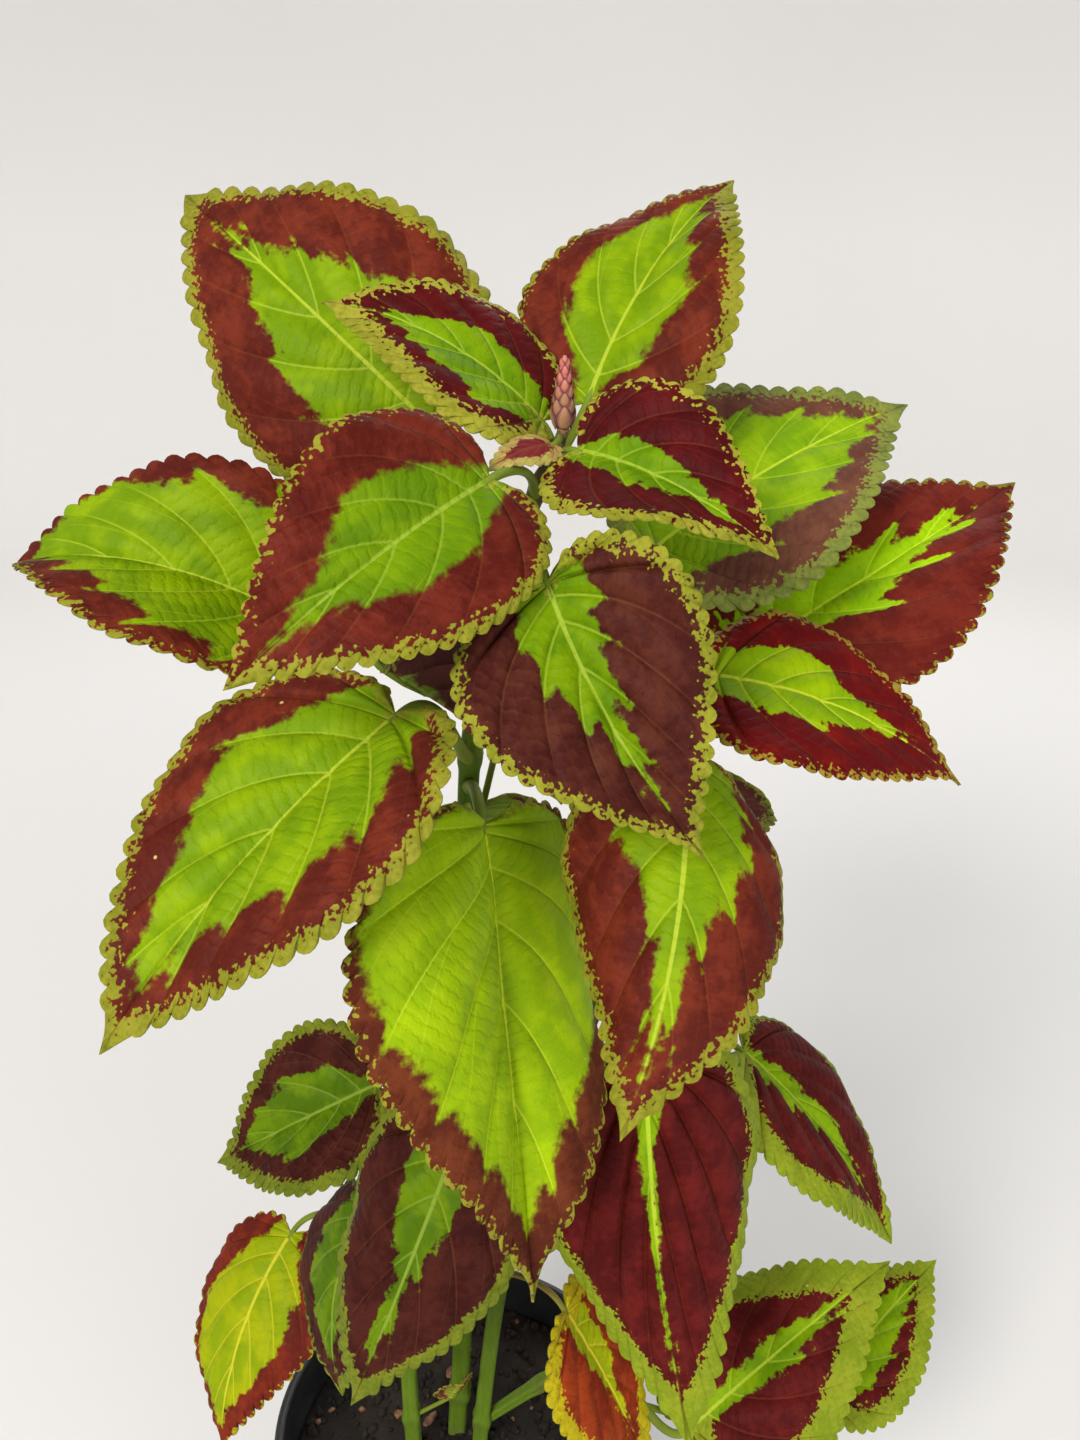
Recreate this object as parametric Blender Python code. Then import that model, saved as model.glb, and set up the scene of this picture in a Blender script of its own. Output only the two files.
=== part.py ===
"""A potted coleus: a black nursery pot, peat soil, three square stems with a low side shoot, a young
flower spike and crenate leaves in opposite pairs. Lengths are metres, but for the two tables of
stems and leaves, which say centimetres."""

import math

import bmesh
import bpy
import numpy as np

# Driving dimensions
CM = 0.01
GAP = 0.0003

POT_HEIGHT = 0.105
POT_RIM_RADIUS = 0.060
POT_BASE_RADIUS = 0.043
POT_WALL = 0.0014
POT_COLLAR_HEIGHT = 0.014
POT_COLLAR_STEP = 0.0016
POT_FLOOR = 0.0020
POT_FOOT_BEVEL = 0.0010
POT_LIP = 0.00084
POT_SEGMENTS = 36
DRAIN_HOLES = 6
DRAIN_RADIUS = 0.0045
DRAIN_CIRCLE = 0.029

SOIL_DROP = 0.015
SOIL_CROWN = 0.0015
SOIL_LUMP = 0.0022
SOIL_EDGE_LUMP = 0.35
SOIL_JITTER = 0.0012
SOIL_RINGS = 5
SOIL_SEED = 7

STEM_CORNER = 0.16
STEM_HOLE_GAP = 0.0006
STEM_HOLE_TOP = 0.135
STEM_SPACING = 0.03
STEM_FINE_SPACING = 0.004
STEM_LEAST_STEP = 0.0015
NODE_SWELL = 1.16
NODE_HALF = 0.0035

BLADE_THICKNESS = 0.0007
MARGIN_SAMPLES = 401
MIDRIB_STEPS = 7
INNER_STEPS = 7
INNER_START = 0.07
INNER_END = 0.90
INNER_SHARE = 0.52
TOOTH_START = 0.05
TOOTH_END = 0.94
TOOTH_DEPTH = 0.16
VEIN_SHIFT = 0.08
VEIN_POWER = 1.15

PETIOLE_SIDES = 5
PETIOLE_STEPS = 4
PETIOLE_RADIUS = 0.0011
PETIOLE_FLARE = 1.35
PETIOLE_CLEARANCE = 1.45
PETIOLE_OUT = 0.7
PETIOLE_UP = 0.55
PETIOLE_HANDLE = 0.33
RIB_END_RADIUS = 0.00045
RIB_SHARE = 0.55
RIB_SINK = 0.7

SPIKE_HEIGHT = 0.0165
SPIKE_LEAN = (0.0003, 0.001)
SPIKE_RADIUS = 0.0022
SPIKE_TAPER = (0.7, 0.9, 0.85, 0.6, 0.15)
BRACT_RINGS = 6
BRACTS_A_RING = 4
BRACT_FIRST = 0.06
BRACT_LAST = 0.86
BRACT_TOP_SIZE = 0.45
BRACT_LENGTH = 0.0052
BRACT_WIDTH = 0.0040
BRACT_ROOT = 0.0010

# Half a leaf, from the notch at its base to its tip: share of the length, share of the half width
LEAF_HALF = (
    (0.0, 0.0), (-0.035, 0.16), (-0.045, 0.36), (-0.01, 0.62), (0.09, 0.87), (0.24, 1.0),
    (0.42, 0.95), (0.60, 0.72), (0.76, 0.43), (0.88, 0.19), (0.95, 0.065), (1.0, 0.0),
)

# Centre line of each stem and its width at each of those points, then the heights of its swollen
# nodes, all in centimetres
STEMS = {
    "stem_main": (
        ((-0.3, 0.6, 7.0), (-0.1, 0.5, 10.0), (0.1, 0.5, 13.0), (0.5, 0.3, 23.0), (0.7, 0.1, 29.8),
         (0.85, 0.0, 33.7), (1.3, 0.0, 36.8), (1.98, 0.0, 39.1), (2.65, 0.1, 40.8), (3.04, 0.2, 41.6),
         (3.18, 0.2, 42.0)),
        (0.62, 0.62, 0.6, 0.56, 0.54, 0.54, 0.5, 0.46, 0.4, 0.3, 0.26),
        (28.0, 31.4, 34.0, 36.6, 39.3, 40.8),
    ),
    "stem_right": (
        ((0.5, -0.3, 7.0), (0.75, -0.3, 10.7), (1.3, -0.3, 15.7), (2.0, 0.0, 19.5), (3.2, 0.4, 22.9),
         (5.3, 0.7, 29.4), (6.55, 0.8, 34.3), (6.6, 0.8, 36.2), (6.55, 0.9, 37.0)),
        (0.5, 0.5, 0.48, 0.46, 0.44, 0.4, 0.36, 0.3, 0.16),
        (10.7, 17.0, 24.4, 32.6, 34.6, 36.2),
    ),
    "stem_left": (
        ((-1.4, -0.6, 7.0), (-1.5, -0.6, 13.0), (-1.3, -0.5, 20.0), (-1.1, -0.4, 22.8)),
        (0.5, 0.48, 0.42, 0.32),
        (11.3, 18.4, 22.4),
    ),
    "shoot_low_right": (
        ((1.2, -0.25, 10.8), (2.0, -0.3, 11.7), (3.1, -0.3, 12.6), (4.5, 0.0, 13.2), (5.6, 0.5, 13.7)),
        (0.34, 0.36, 0.36, 0.34, 0.26),
        (),
    ),
}
ROOTED = ("stem_main", "stem_right", "stem_left")

# Each leaf: stem and height where its petiole starts, blade base, tip and width in centimetres,
# then roll, bend, fold and curl in degrees, sideways sweep, twist in degrees, and teeth a side.
LEAVES = {
    "leaf_top_left": (
        "stem_main", 39.3, (0.0, 2.6, 41.8), (-7.1, 7.4, 47.6), 7.7, 60, 46, 10, 44, -0.02, 4, 15,
    ),
    "leaf_top_right": (
        "stem_main", 40.8, (3.8, 2.1, 42.5), (7.7, 5.8, 47.8), 5.6, -21, 39, 15, 31, 0.08, -11, 14,
    ),
    "leaf_young_left": (
        "stem_main", 41.6, (2.7, 0.6, 42.2), (-2.4, 1.3, 44.8), 4.3, 35, 47, 13, 19, -0.07, -21, 14,
    ),
    "leaf_bract": (
        "stem_main", 41.8, (2.9, -0.8, 41.8), (1.5, -2.1, 41.4), 1.0, 30, 34, 9, 29, -0.02, 0, 6,
    ),
    "leaf_heart_left": (
        "stem_main", 40.6, (1.6, -2.6, 41.3), (-3.3, -6.3, 37.9), 5.0, 57, 40, 17, 27, -0.06, -8, 15,
    ),
    "leaf_far_left": (
        "stem_main", 36.7, (-3.9, 2.2, 37.0), (-11.5, 3.2, 38.1), 6.3, 38, 77, 31, 16, 0.0, 17, 15,
    ),
    "leaf_heart_right": (
        "stem_main", 41.4, (3.5, -1.0, 41.7), (7.5, -3.8, 39.9), 3.9, -34, 40, 21, 9, 0.02, -33, 14,
    ),
    "leaf_right_back": (
        "stem_main", 36.5, (5.5, 1.8, 38.9), (12.8, 5.5, 42.2), 6.7, -36, 18, 9, 4, 0.09, -4, 15,
    ),
    "leaf_far_right": (
        "stem_right", 36.3, (8.3, 2.8, 35.9), (16.3, 6.0, 40.0), 6.9, -31, 29, 17, 16, -0.15, -2, 15,
    ),
    "leaf_right_front": (
        "stem_right", 34.8, (6.8, -0.8, 36.4), (12.8, -1.6, 33.9), 4.9, -28, 40, 5, 2, 0.08, -3, 14,
    ),
    "leaf_centre_dark": (
        "stem_main", 39.2, (2.8, -3.5, 39.3), (6.0, -6.0, 34.2), 5.5, -34, 8, 16, 2, -0.22, -40, 15,
    ),
    "leaf_middle_left": (
        "stem_main", 34.0, (-0.5, -3.3, 36.3), (-6.2, -7.5, 30.6), 6.8, 20, 25, 15, 13, -0.04, -21, 15,
    ),
    "leaf_edge_on": (
        "stem_main", 36.4, (-0.8, -2.7, 37.2), (3.2, -2.4, 33.8), 3.8, 45, 20, 40, 6, 0.0, 0, 12,
    ),
    "leaf_centre_front": (
        "stem_main", 33.2, (1.3, -2.2, 33.1), (2.5, -7.1, 23.5), 9.3, 38, -6, 31, 76, 0.07, 11, 16,
    ),
    "leaf_lower_right": (
        "stem_right", 34.4, (5.9, -3.1, 35.2), (4.3, -7.7, 28.6), 6.2, 9, 37, -11, 44, 0.21, 32, 15,
    ),
    "leaf_long_low": (
        "stem_right", 25.0, (5.4, -2.2, 26.4), (6.6, -5.6, 16.7), 7.3, -19, 2, -10, 45, -0.10, 1, 16,
    ),
    "leaf_right_mid": (
        "stem_right", 24.2, (8.8, 1.6, 23.7), (13.5, 0.1, 17.7), 5.7, -7, 22, 22, 46, 0.09, 10, 15,
    ),
    "leaf_bottom_right": (
        "shoot_low_right", 13.2, (7.4, -1.0, 11.1), (14.3, 1.9, 15.1), 6.0, -23, 28, 6, 37, 0.0, -1, 15,
    ),
    "leaf_bottom_far_right": (
        "shoot_low_right", 12.3, (12.4, 1.5, 9.5), (17.5, 5.4, 11.4), 4.5, -20, 24, 6, 30, 0.04, 0, 13,
    ),
    "leaf_low_left_small": (
        "stem_left", 22.5, (-2.1, 0.5, 23.4), (-7.3, 1.0, 20.0), 5.0, 40, 16, 21, 2, 0.03, 12, 13,
    ),
    "leaf_low_left_dark": (
        "stem_left", 22.2, (0.6, -2.7, 24.6), (-2.4, -4.9, 17.3), 5.7, 36, 41, 1, 59, 0.09, 8, 15,
    ),
    "leaf_low_left_narrow": (
        "stem_left", 18.6, (-2.2, -1.7, 21.2), (-2.9, -3.6, 16.0), 5.2, -23, 50, 3, 35, -0.13, -22, 13,
    ),
    "leaf_ageing_left": (
        "stem_left", 18.2, (-5.2, 0.8, 17.4), (-7.1, -2.2, 11.9), 4.8, 5, 42, 1, 30, -0.15, -1, 12,
    ),
    "leaf_ageing_centre": (
        "stem_right", 17.0, (3.4, -2.3, 17.7), (5.9, -2.9, 12.2), 4.5, -12, 18, 12, 31, -0.07, 9, 12,
    ),
    "leaf_tiny": (
        "stem_left", 11.3, (-0.1, -0.9, 12.5), (0.3, -1.6, 13.9), 1.3, 0, 30, 20, 10, 0.0, 0, 6,
    ),
    "leaf_back_upper": (
        "stem_main", 31.6, (2.5, 2.6, 34.9), (5.8, 6.0, 31.9), 4.2, -5, 40, 12, 25, 0.0, 0, 12,
    ),
    "leaf_back_middle": (
        "stem_main", 31.2, (0.9, 2.9, 31.2), (1.5, 7.2, 23.7), 4.8, 10, 40, 10, 35, 0.03, 5, 13,
    ),
    "leaf_back_right": (
        "stem_right", 32.6, (6.9, 3.2, 32.2), (7.2, 7.2, 25.7), 5.5, -10, 40, 12, 30, 0.0, -5, 13,
    ),
    "leaf_back_low": (
        "stem_right", 24.6, (2.7, 3.0, 23.2), (0.8, 6.8, 18.0), 4.3, 10, 35, 12, 25, 0.0, 0, 12,
    ),
    "leaf_low_left_back": (
        "stem_left", 18.4, (-1.6, 1.6, 18.8), (-2.6, 5.0, 13.8), 4.0, 0, 35, 12, 25, 0.0, 0, 12,
    ),
    "leaf_back_left": (
        "stem_main", 28.0, (-2.3, 2.0, 29.7), (-5.8, 5.0, 27.9), 3.6, 5, 35, 12, 20, 0.0, 0, 12,
    ),
}


def clear_scene():
    for obj in list(bpy.data.objects):
        bpy.data.objects.remove(obj, do_unlink=True)


def material(name, colour, roughness, metallic=0.0):
    made = bpy.data.materials.new(name)
    made.use_nodes = True
    shader = made.node_tree.nodes["Principled BSDF"]
    shader.inputs["Base Color"].default_value = (*colour, 1.0)
    shader.inputs["Roughness"].default_value = roughness
    shader.inputs["Metallic"].default_value = metallic
    made.diffuse_color = (*colour, 1.0)
    return made


def add_object(name, points, faces, coat, smooth=True):
    """A mesh object from points in metres, with its faces turned outward."""
    mesh = bpy.data.meshes.new(name)
    mesh.from_pydata([tuple(p) for p in points], [], [tuple(f) for f in faces])
    shape = bmesh.new()
    shape.from_mesh(mesh)
    bmesh.ops.recalc_face_normals(shape, faces=shape.faces)
    if shape.calc_volume(signed=True) < 0:
        bmesh.ops.reverse_faces(shape, faces=shape.faces)
    shape.to_mesh(mesh)
    shape.free()
    mesh.materials.append(coat)
    mesh.polygons.foreach_set("use_smooth", [smooth] * len(mesh.polygons))
    obj = bpy.data.objects.new(name, mesh)
    bpy.context.collection.objects.link(obj)
    return obj


def combine(obj, others, operation):
    """One Boolean on a collection of the other objects, applied, with those objects removed."""
    group = bpy.data.collections.new("tools")
    bpy.context.scene.collection.children.link(group)
    for other in others:
        bpy.context.collection.objects.unlink(other)
        group.objects.link(other)
    step = obj.modifiers.new("combine", "BOOLEAN")
    step.operation = operation
    step.operand_type = "COLLECTION"
    step.collection = group
    step.solver = "MANIFOLD" if operation == "UNION" else "EXACT"
    graph = bpy.context.evaluated_depsgraph_get()
    joined = bpy.data.meshes.new_from_object(obj.evaluated_get(graph))
    obj.modifiers.clear()
    obj.data = joined
    for other in others:
        bpy.data.objects.remove(other, do_unlink=True)
    bpy.data.collections.remove(group)


def smooth_path(points, spacing):
    """Points every so many metres along a smooth curve through the given points."""
    keys = np.asarray(points, float)
    keys = np.vstack([2 * keys[0] - keys[1], keys, 2 * keys[-1] - keys[-2]])
    parts = []
    for a, b, c, d in zip(keys, keys[1:], keys[2:], keys[3:]):
        steps = max(1, round(float(np.linalg.norm(c - b)) / spacing))
        t = (np.arange(steps) / steps)[:, None]
        bend = (2 * a - 5 * b + 4 * c - d) * t**2 + (3 * b - a - 3 * c + d) * t**3
        parts.append(0.5 * (2 * b + (c - a) * t + bend))
    return np.vstack([*parts, keys[-2:-1]])


def cross_frames(path, start_side):
    """Two unit directions across each point of the path, turned as little as possible along it."""
    ahead = np.gradient(path, axis=0)
    ahead /= np.linalg.norm(ahead, axis=1, keepdims=True)
    side = np.asarray(start_side, float)
    sides = []
    for direction in ahead:
        side = side - direction * (side @ direction)
        side = side / np.linalg.norm(side)
        sides.append(side)
    sides = np.array(sides)
    return sides, np.cross(ahead, sides)


def tube(path, outline, sizes, start_side=(1.0, 0.0, 0.0)):
    """Points and faces of a closed tube with the given cross outline, scaled at each path point."""
    sides, ups = cross_frames(path, start_side)
    count = len(outline)
    rings = (
        path[:, None, :]
        + sides[:, None, :] * outline[None, :, :1] * sizes[:, None, None]
        + ups[:, None, :] * outline[None, :, 1:] * sizes[:, None, None]
    )
    faces = []
    for ring in range(len(path) - 1):
        for i in range(count):
            a = ring * count + i
            b = ring * count + (i + 1) % count
            faces += [(a, b, b + count), (a, b + count, a + count)]
    last = (len(path) - 1) * count
    faces.append(tuple(range(count))[::-1])
    faces.append(tuple(range(last, last + count)))
    return rings.reshape(-1, 3), faces


def round_outline(count):
    turn = np.arange(count) * 2 * math.pi / count
    return np.stack([np.cos(turn), np.sin(turn)], axis=1)


def square_outline():
    """A square of side 1 with cut corners, as the cross section of a coleus stem."""
    flat = 0.5 - STEM_CORNER
    corners = [(0.5, -flat), (0.5, flat), (flat, 0.5), (-flat, 0.5)]
    return np.array(corners + [(-x, -y) for x, y in corners])


# Pot


def pot_profile():
    """Radius and height around the wall: up the outside, over the rim, down the inside."""
    slope = (POT_RIM_RADIUS - POT_COLLAR_STEP - POT_BASE_RADIUS) / POT_HEIGHT
    collar_foot = POT_HEIGHT - POT_COLLAR_HEIGHT
    foot_radius = POT_BASE_RADIUS + slope * collar_foot
    rim_inside = POT_RIM_RADIUS - POT_COLLAR_STEP - POT_WALL
    floor_inside = POT_BASE_RADIUS + slope * POT_FLOOR - POT_WALL
    lip = POT_LIP
    return [
        (POT_BASE_RADIUS - POT_FOOT_BEVEL, 0.0),
        (POT_BASE_RADIUS, POT_FOOT_BEVEL),
        (foot_radius, collar_foot),
        (POT_RIM_RADIUS, collar_foot),
        (POT_RIM_RADIUS, POT_HEIGHT - lip),
        (POT_RIM_RADIUS - lip, POT_HEIGHT),
        (rim_inside + lip * 0.5, POT_HEIGHT),
        (rim_inside, POT_HEIGHT - lip),
        (floor_inside, POT_FLOOR),
    ]


def turned(profile, segments):
    """Points and faces of a profile turned about Z and closed at the middle of both ends."""
    ring = round_outline(segments)
    points = [(r * x, r * y, z) for r, z in profile for x, y in ring]
    faces = []
    for i in range(len(profile) - 1):
        for j in range(segments):
            a = i * segments + j
            b = i * segments + (j + 1) % segments
            faces.append((a, b, b + segments, a + segments))
    bottom = len(points)
    points += [(0.0, 0.0, profile[0][1]), (0.0, 0.0, profile[-1][1])]
    last = (len(profile) - 1) * segments
    for j in range(segments):
        k = (j + 1) % segments
        faces.append((bottom, k, j))
        faces.append((bottom + 1, last + j, last + k))
    return points, faces


def make_pot(coat):
    points, faces = turned(pot_profile(), POT_SEGMENTS)
    pot = add_object("pot", points, faces, coat)
    cutters = []
    for i in range(DRAIN_HOLES):
        turn = 2 * math.pi * i / DRAIN_HOLES
        centre = np.array([math.cos(turn) * DRAIN_CIRCLE, math.sin(turn) * DRAIN_CIRCLE, 0.0])
        path = np.array([centre - (0, 0, POT_FLOOR), centre + (0, 0, 2 * POT_FLOOR)])
        hole = tube(path, round_outline(8), np.full(2, DRAIN_RADIUS))
        cutters.append(add_object("drain", *hole, coat))
    combine(pot, cutters, "DIFFERENCE")
    return pot


# Soil


def soil_height(x, y, lump):
    """Height of the soil's top: level, a little higher at the middle, with rounded lumps."""
    far = np.hypot(x, y) / POT_RIM_RADIUS
    waves = np.sin(x * 310 + 1.3) * np.sin(y * 270 + 0.4) + 0.6 * np.sin(x * 620 - y * 540)
    return POT_HEIGHT - SOIL_DROP + SOIL_CROWN * (1 - far**2) + lump * 0.5 * waves


def make_soil(coat):
    rng = np.random.default_rng(SOIL_SEED)
    profile = pot_profile()
    rim_inside, floor_inside = profile[-2][0], profile[-1][0]
    slope = (rim_inside - floor_inside) / (profile[-2][1] - POT_FLOOR)
    foot = POT_FLOOR + GAP
    top = POT_HEIGHT - SOIL_DROP
    foot_radius = floor_inside - GAP
    edge_radius = foot_radius + slope * (top - foot)
    ring = round_outline(POT_SEGMENTS // 2)
    count = len(ring)
    points = [(foot_radius * x, foot_radius * y, foot) for x, y in ring]
    for i in range(SOIL_RINGS):
        radius = edge_radius * (1 - i / SOIL_RINGS)
        lump = SOIL_LUMP * (SOIL_EDGE_LUMP if i == 0 else 1.0)
        for x, y in ring:
            jitter = 0.0 if i == 0 else rng.uniform(-SOIL_JITTER, SOIL_JITTER)
            px, py = radius * x + jitter, radius * y - jitter
            points.append((px, py, float(soil_height(px, py, lump))))
    faces = []
    for i in range(SOIL_RINGS):
        for j in range(count):
            a, b = i * count + j, i * count + (j + 1) % count
            faces += [(a, b, b + count), (a, b + count, a + count)]
    middle = len(points)
    points += [(0.0, 0.0, float(soil_height(0.0, 0.0, SOIL_LUMP))), (0.0, 0.0, foot)]
    last = SOIL_RINGS * count
    for j in range(count):
        k = (j + 1) % count
        faces += [(last + j, last + k, middle), (k, j, middle + 1)]
    soil = add_object("soil", points, faces, coat)
    holes = []
    for name in ROOTED:
        path, sizes = stem_path(name)
        keep = path[:, 2] < STEM_HOLE_TOP
        path, sizes = path[keep], sizes[keep] + 2 * STEM_HOLE_GAP
        path = np.vstack([path[:1] - (0, 0, STEM_HOLE_GAP), path[1:]])
        holes.append(add_object("hole", *tube(path, square_outline(), sizes), coat))
    combine(soil, holes, "DIFFERENCE")
    return soil


# Stems


def stem_path(name):
    """Points up the middle of a stem in metres and its width at each, swollen at the nodes."""
    line, widths, nodes = STEMS[name]
    keys = np.array(line) * CM
    path = smooth_path(keys, STEM_SPACING)
    heights = path[:, 2]
    extra = [z * CM + step for z in nodes for step in (-NODE_HALF, 0.0, NODE_HALF)]
    extra = [z for z in extra if heights[0] < z < heights[-1] - 0.001]
    every = np.sort(np.concatenate([heights, extra]))
    every = every[np.concatenate([[True], np.diff(every) > STEM_LEAST_STEP])]
    fine = smooth_path(keys, STEM_FINE_SPACING)
    path = np.stack([np.interp(every, fine[:, 2], fine[:, axis]) for axis in range(3)], axis=1)
    sizes = np.interp(every, keys[:, 2], np.array(widths) * CM)
    near = np.min(np.abs(every[:, None] - np.array([*nodes, -1.0])[None] * CM), axis=1)
    return path, sizes * np.where(near < NODE_HALF * 0.6, NODE_SWELL, 1.0)


def make_stem(name, coat):
    path, sizes = stem_path(name)
    return add_object(name, *tube(path, square_outline(), sizes), coat)


def stem_at(name, height):
    """Middle of the stem, its width and its direction at a height, in metres."""
    path, sizes = stem_path(name)
    z = height * CM
    ahead = np.gradient(path, axis=0)
    middle = np.array([np.interp(z, path[:, 2], path[:, axis]) for axis in range(3)])
    ahead = np.array([np.interp(z, path[:, 2], ahead[:, axis]) for axis in range(3)])
    return middle, float(np.interp(z, path[:, 2], sizes)), ahead / np.linalg.norm(ahead)


# Leaves


def half_outline(count, length, half_width):
    """Evenly spaced points of half the leaf's margin without teeth, in metres, flat."""
    keys = np.array(LEAF_HALF) * (length, half_width)
    fine = smooth_path(keys, 0.02 * length)
    run = np.concatenate([[0], np.cumsum(np.linalg.norm(np.diff(fine, axis=0), axis=1))])
    at = np.linspace(0, 1, count) * run[-1]
    return np.stack([np.interp(at, run, fine[:, axis]) for axis in range(2)], axis=1)


def toothed_outline(teeth, length, half_width):
    """Half the margin with rounded teeth: two points a tooth, in its notch and on its crest."""
    fine = half_outline(MARGIN_SAMPLES, length, half_width)
    share = np.linspace(TOOTH_START, TOOTH_END, 2 * teeth + 1)
    share = np.concatenate([[0.0, 0.5 * TOOTH_START], share, [1.0]])
    at = np.linspace(0, 1, MARGIN_SAMPLES)
    base = np.stack([np.interp(share, at, fine[:, axis]) for axis in range(2)], axis=1)
    ahead = np.gradient(base, axis=0)
    ahead /= np.linalg.norm(ahead, axis=1, keepdims=True)
    outward = np.stack([-ahead[:, 1], ahead[:, 0]], axis=1)
    run = np.linalg.norm(np.diff(fine, axis=0), axis=1).sum()
    depth = TOOTH_DEPTH * run * (TOOTH_END - TOOTH_START) / teeth
    lift = np.zeros(len(share))
    lift[3:-1:2] = depth
    lift[2:-1:2] = -depth
    lift[2] = lift[-2] = 0.0
    return base + outward * lift[:, None], share


def blade_points(flat, spec):
    """Where flat points of the blade lie in space: the flat x runs along an arc from base to tip,
    and the flat y runs across it, folded up at the midrib and curled down towards the margin."""
    base, tip, half, roll, bend, fold, curl, sweep, twist = spec
    along = tip - base
    length = np.linalg.norm(along)
    along = along / length
    up = np.array([0.0, 0.0, 1.0]) - along * along[2]
    up /= np.linalg.norm(up)
    side = np.cross(up, along)
    normal = up * math.cos(roll) + side * math.sin(roll)
    side = np.cross(normal, along)
    share = flat[:, 0] / length
    reach = length * (bend / 2) / math.sin(bend / 2)
    angle = bend * (0.5 - share)
    x = reach * (math.sin(bend / 2) - np.sin(angle)) / bend
    z = reach * (np.cos(angle) - math.cos(bend / 2)) / bend
    away = np.abs(flat[:, 1])
    rate = curl / half
    across = (math.sin(fold) - np.sin(fold - rate * away)) / rate * np.sign(flat[:, 1])
    lift = (np.cos(fold - rate * away) - math.cos(fold)) / rate
    turn = twist * (share - 0.5)
    y = across * np.cos(turn) - lift * np.sin(turn)
    lift = across * np.sin(turn) + lift * np.cos(turn)
    y = y + sweep * length * share * (1 - share)
    x = x - np.sin(angle) * lift
    z = z + np.cos(angle) * lift
    return base + x[:, None] * along + y[:, None] * side + z[:, None] * normal


def blade_normals(flat, spec, step=1e-4):
    dx = blade_points(flat + (step, 0), spec) - blade_points(flat - (step, 0), spec)
    dy = blade_points(flat + (0, step), spec) - blade_points(flat - (0, step), spec)
    normal = np.cross(dx, dy)
    return normal / np.linalg.norm(normal, axis=1, keepdims=True)


def stitch(first, first_at, second, second_at):
    """Triangles between two rows of points, taking next whichever row lags behind."""
    i = j = 0
    faces = []
    while i < len(first) - 1 or j < len(second) - 1:
        can_first = i < len(first) - 1
        if can_first and (j == len(second) - 1 or first_at[i + 1] <= second_at[j + 1]):
            faces.append((first[i], first[i + 1], second[j]))
            i += 1
        else:
            faces.append((first[i], second[j + 1], second[j]))
            j += 1
    return faces


def vein_foot(share):
    """Share of the midrib where the side vein that ends at this share of the margin starts."""
    return np.clip((share - VEIN_SHIFT) / (1 - VEIN_SHIFT), 0, 1) ** VEIN_POWER


def flat_blade(teeth, length, half):
    """Flat points, triangles and the margin's loop of a blade, with the midrib on the x axis."""
    margin, margin_at = toothed_outline(teeth, length, half)
    rib_x = np.linspace(0, 1, MIDRIB_STEPS + 1)
    inner_at = np.linspace(INNER_START, INNER_END, INNER_STEPS)
    ends = half_outline(MARGIN_SAMPLES, length, half)
    grid = np.linspace(0, 1, MARGIN_SAMPLES)
    inner = np.stack([np.interp(inner_at, grid, ends[:, axis]) for axis in range(2)], axis=1)
    foot = np.stack([vein_foot(inner_at) * length, np.zeros(INNER_STEPS)], axis=1)
    inner = foot + (inner - foot) * INNER_SHARE
    rib = np.stack([rib_x * length, np.zeros(MIDRIB_STEPS + 1)], axis=1)
    points = [rib, inner, margin[1:-1], inner * (1, -1), margin[1:-1] * (1, -1)]
    start = np.cumsum([0] + [len(p) for p in points])
    rib_ids = list(range(MIDRIB_STEPS + 1))
    rib_at = np.interp(rib_x, vein_foot(grid), grid)
    rib_at[0], rib_at[-1] = 0.0, 1.0
    faces = []
    loops = []
    for half_index in (0, 1):
        inner_ids = list(range(start[1 + 2 * half_index], start[2 + 2 * half_index]))
        margin_ids = list(range(start[2 + 2 * half_index], start[3 + 2 * half_index]))
        margin_ids = [rib_ids[0], *margin_ids, rib_ids[-1]]
        made = stitch(rib_ids, rib_at, inner_ids, inner_at)
        made += stitch(inner_ids, inner_at, margin_ids, margin_at)
        faces += made if half_index == 0 else [f[::-1] for f in made]
        loops.append(margin_ids)
    loop = loops[0] + loops[1][-2:0:-1]
    return np.vstack(points), faces, loop


def leaf_spec(row):
    stem, height, base, tip, width, roll, bend, fold, curl, sweep, twist, teeth = row
    angles = [math.radians(value) for value in (roll, bend, fold, curl, twist)]
    base, tip = np.array(base) * CM, np.array(tip) * CM
    return (base, tip, width * CM / 2, angles[0], angles[1], angles[2], angles[3], sweep, angles[4])


def petiole_path(row, spec):
    """From just outside the stem to the blade's base, then along under the midrib."""
    middle, width, ahead = stem_at(row[0], row[1])
    base = spec[0]
    length = np.linalg.norm(spec[1] - base)
    rib_x = np.linspace(0.0, RIB_SHARE, 3) * length
    flat = np.stack([rib_x, np.zeros(3)], axis=1)
    rib = blade_points(flat, spec)
    normal = blade_normals(flat, spec)
    radii = np.linspace(PETIOLE_RADIUS, RIB_END_RADIUS, 3) * petiole_scale(length)
    rib = rib - normal * (BLADE_THICKNESS + radii[:, None] * RIB_SINK)
    out = base - middle
    out = out - ahead * (out @ ahead)
    out /= np.linalg.norm(out)
    start = middle + out * (0.5 * width * NODE_SWELL * PETIOLE_CLEARANCE + GAP)
    handle = PETIOLE_HANDLE * np.linalg.norm(rib[0] - start)
    leave = start + (out * PETIOLE_OUT + ahead * PETIOLE_UP) * handle
    arrive = rib[0] - (rib[1] - rib[0]) / np.linalg.norm(rib[1] - rib[0]) * handle
    t = np.linspace(0, 1, PETIOLE_STEPS + 1)[:-1, None]
    curve = (1 - t) ** 3 * start + 3 * t * (1 - t) ** 2 * leave
    curve = curve + 3 * t**2 * (1 - t) * arrive + t**3 * rib[0]
    thick = np.linspace(PETIOLE_FLARE, 1.0, PETIOLE_STEPS) * radii[0]
    return np.vstack([curve, rib]), np.concatenate([thick, radii])


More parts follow.
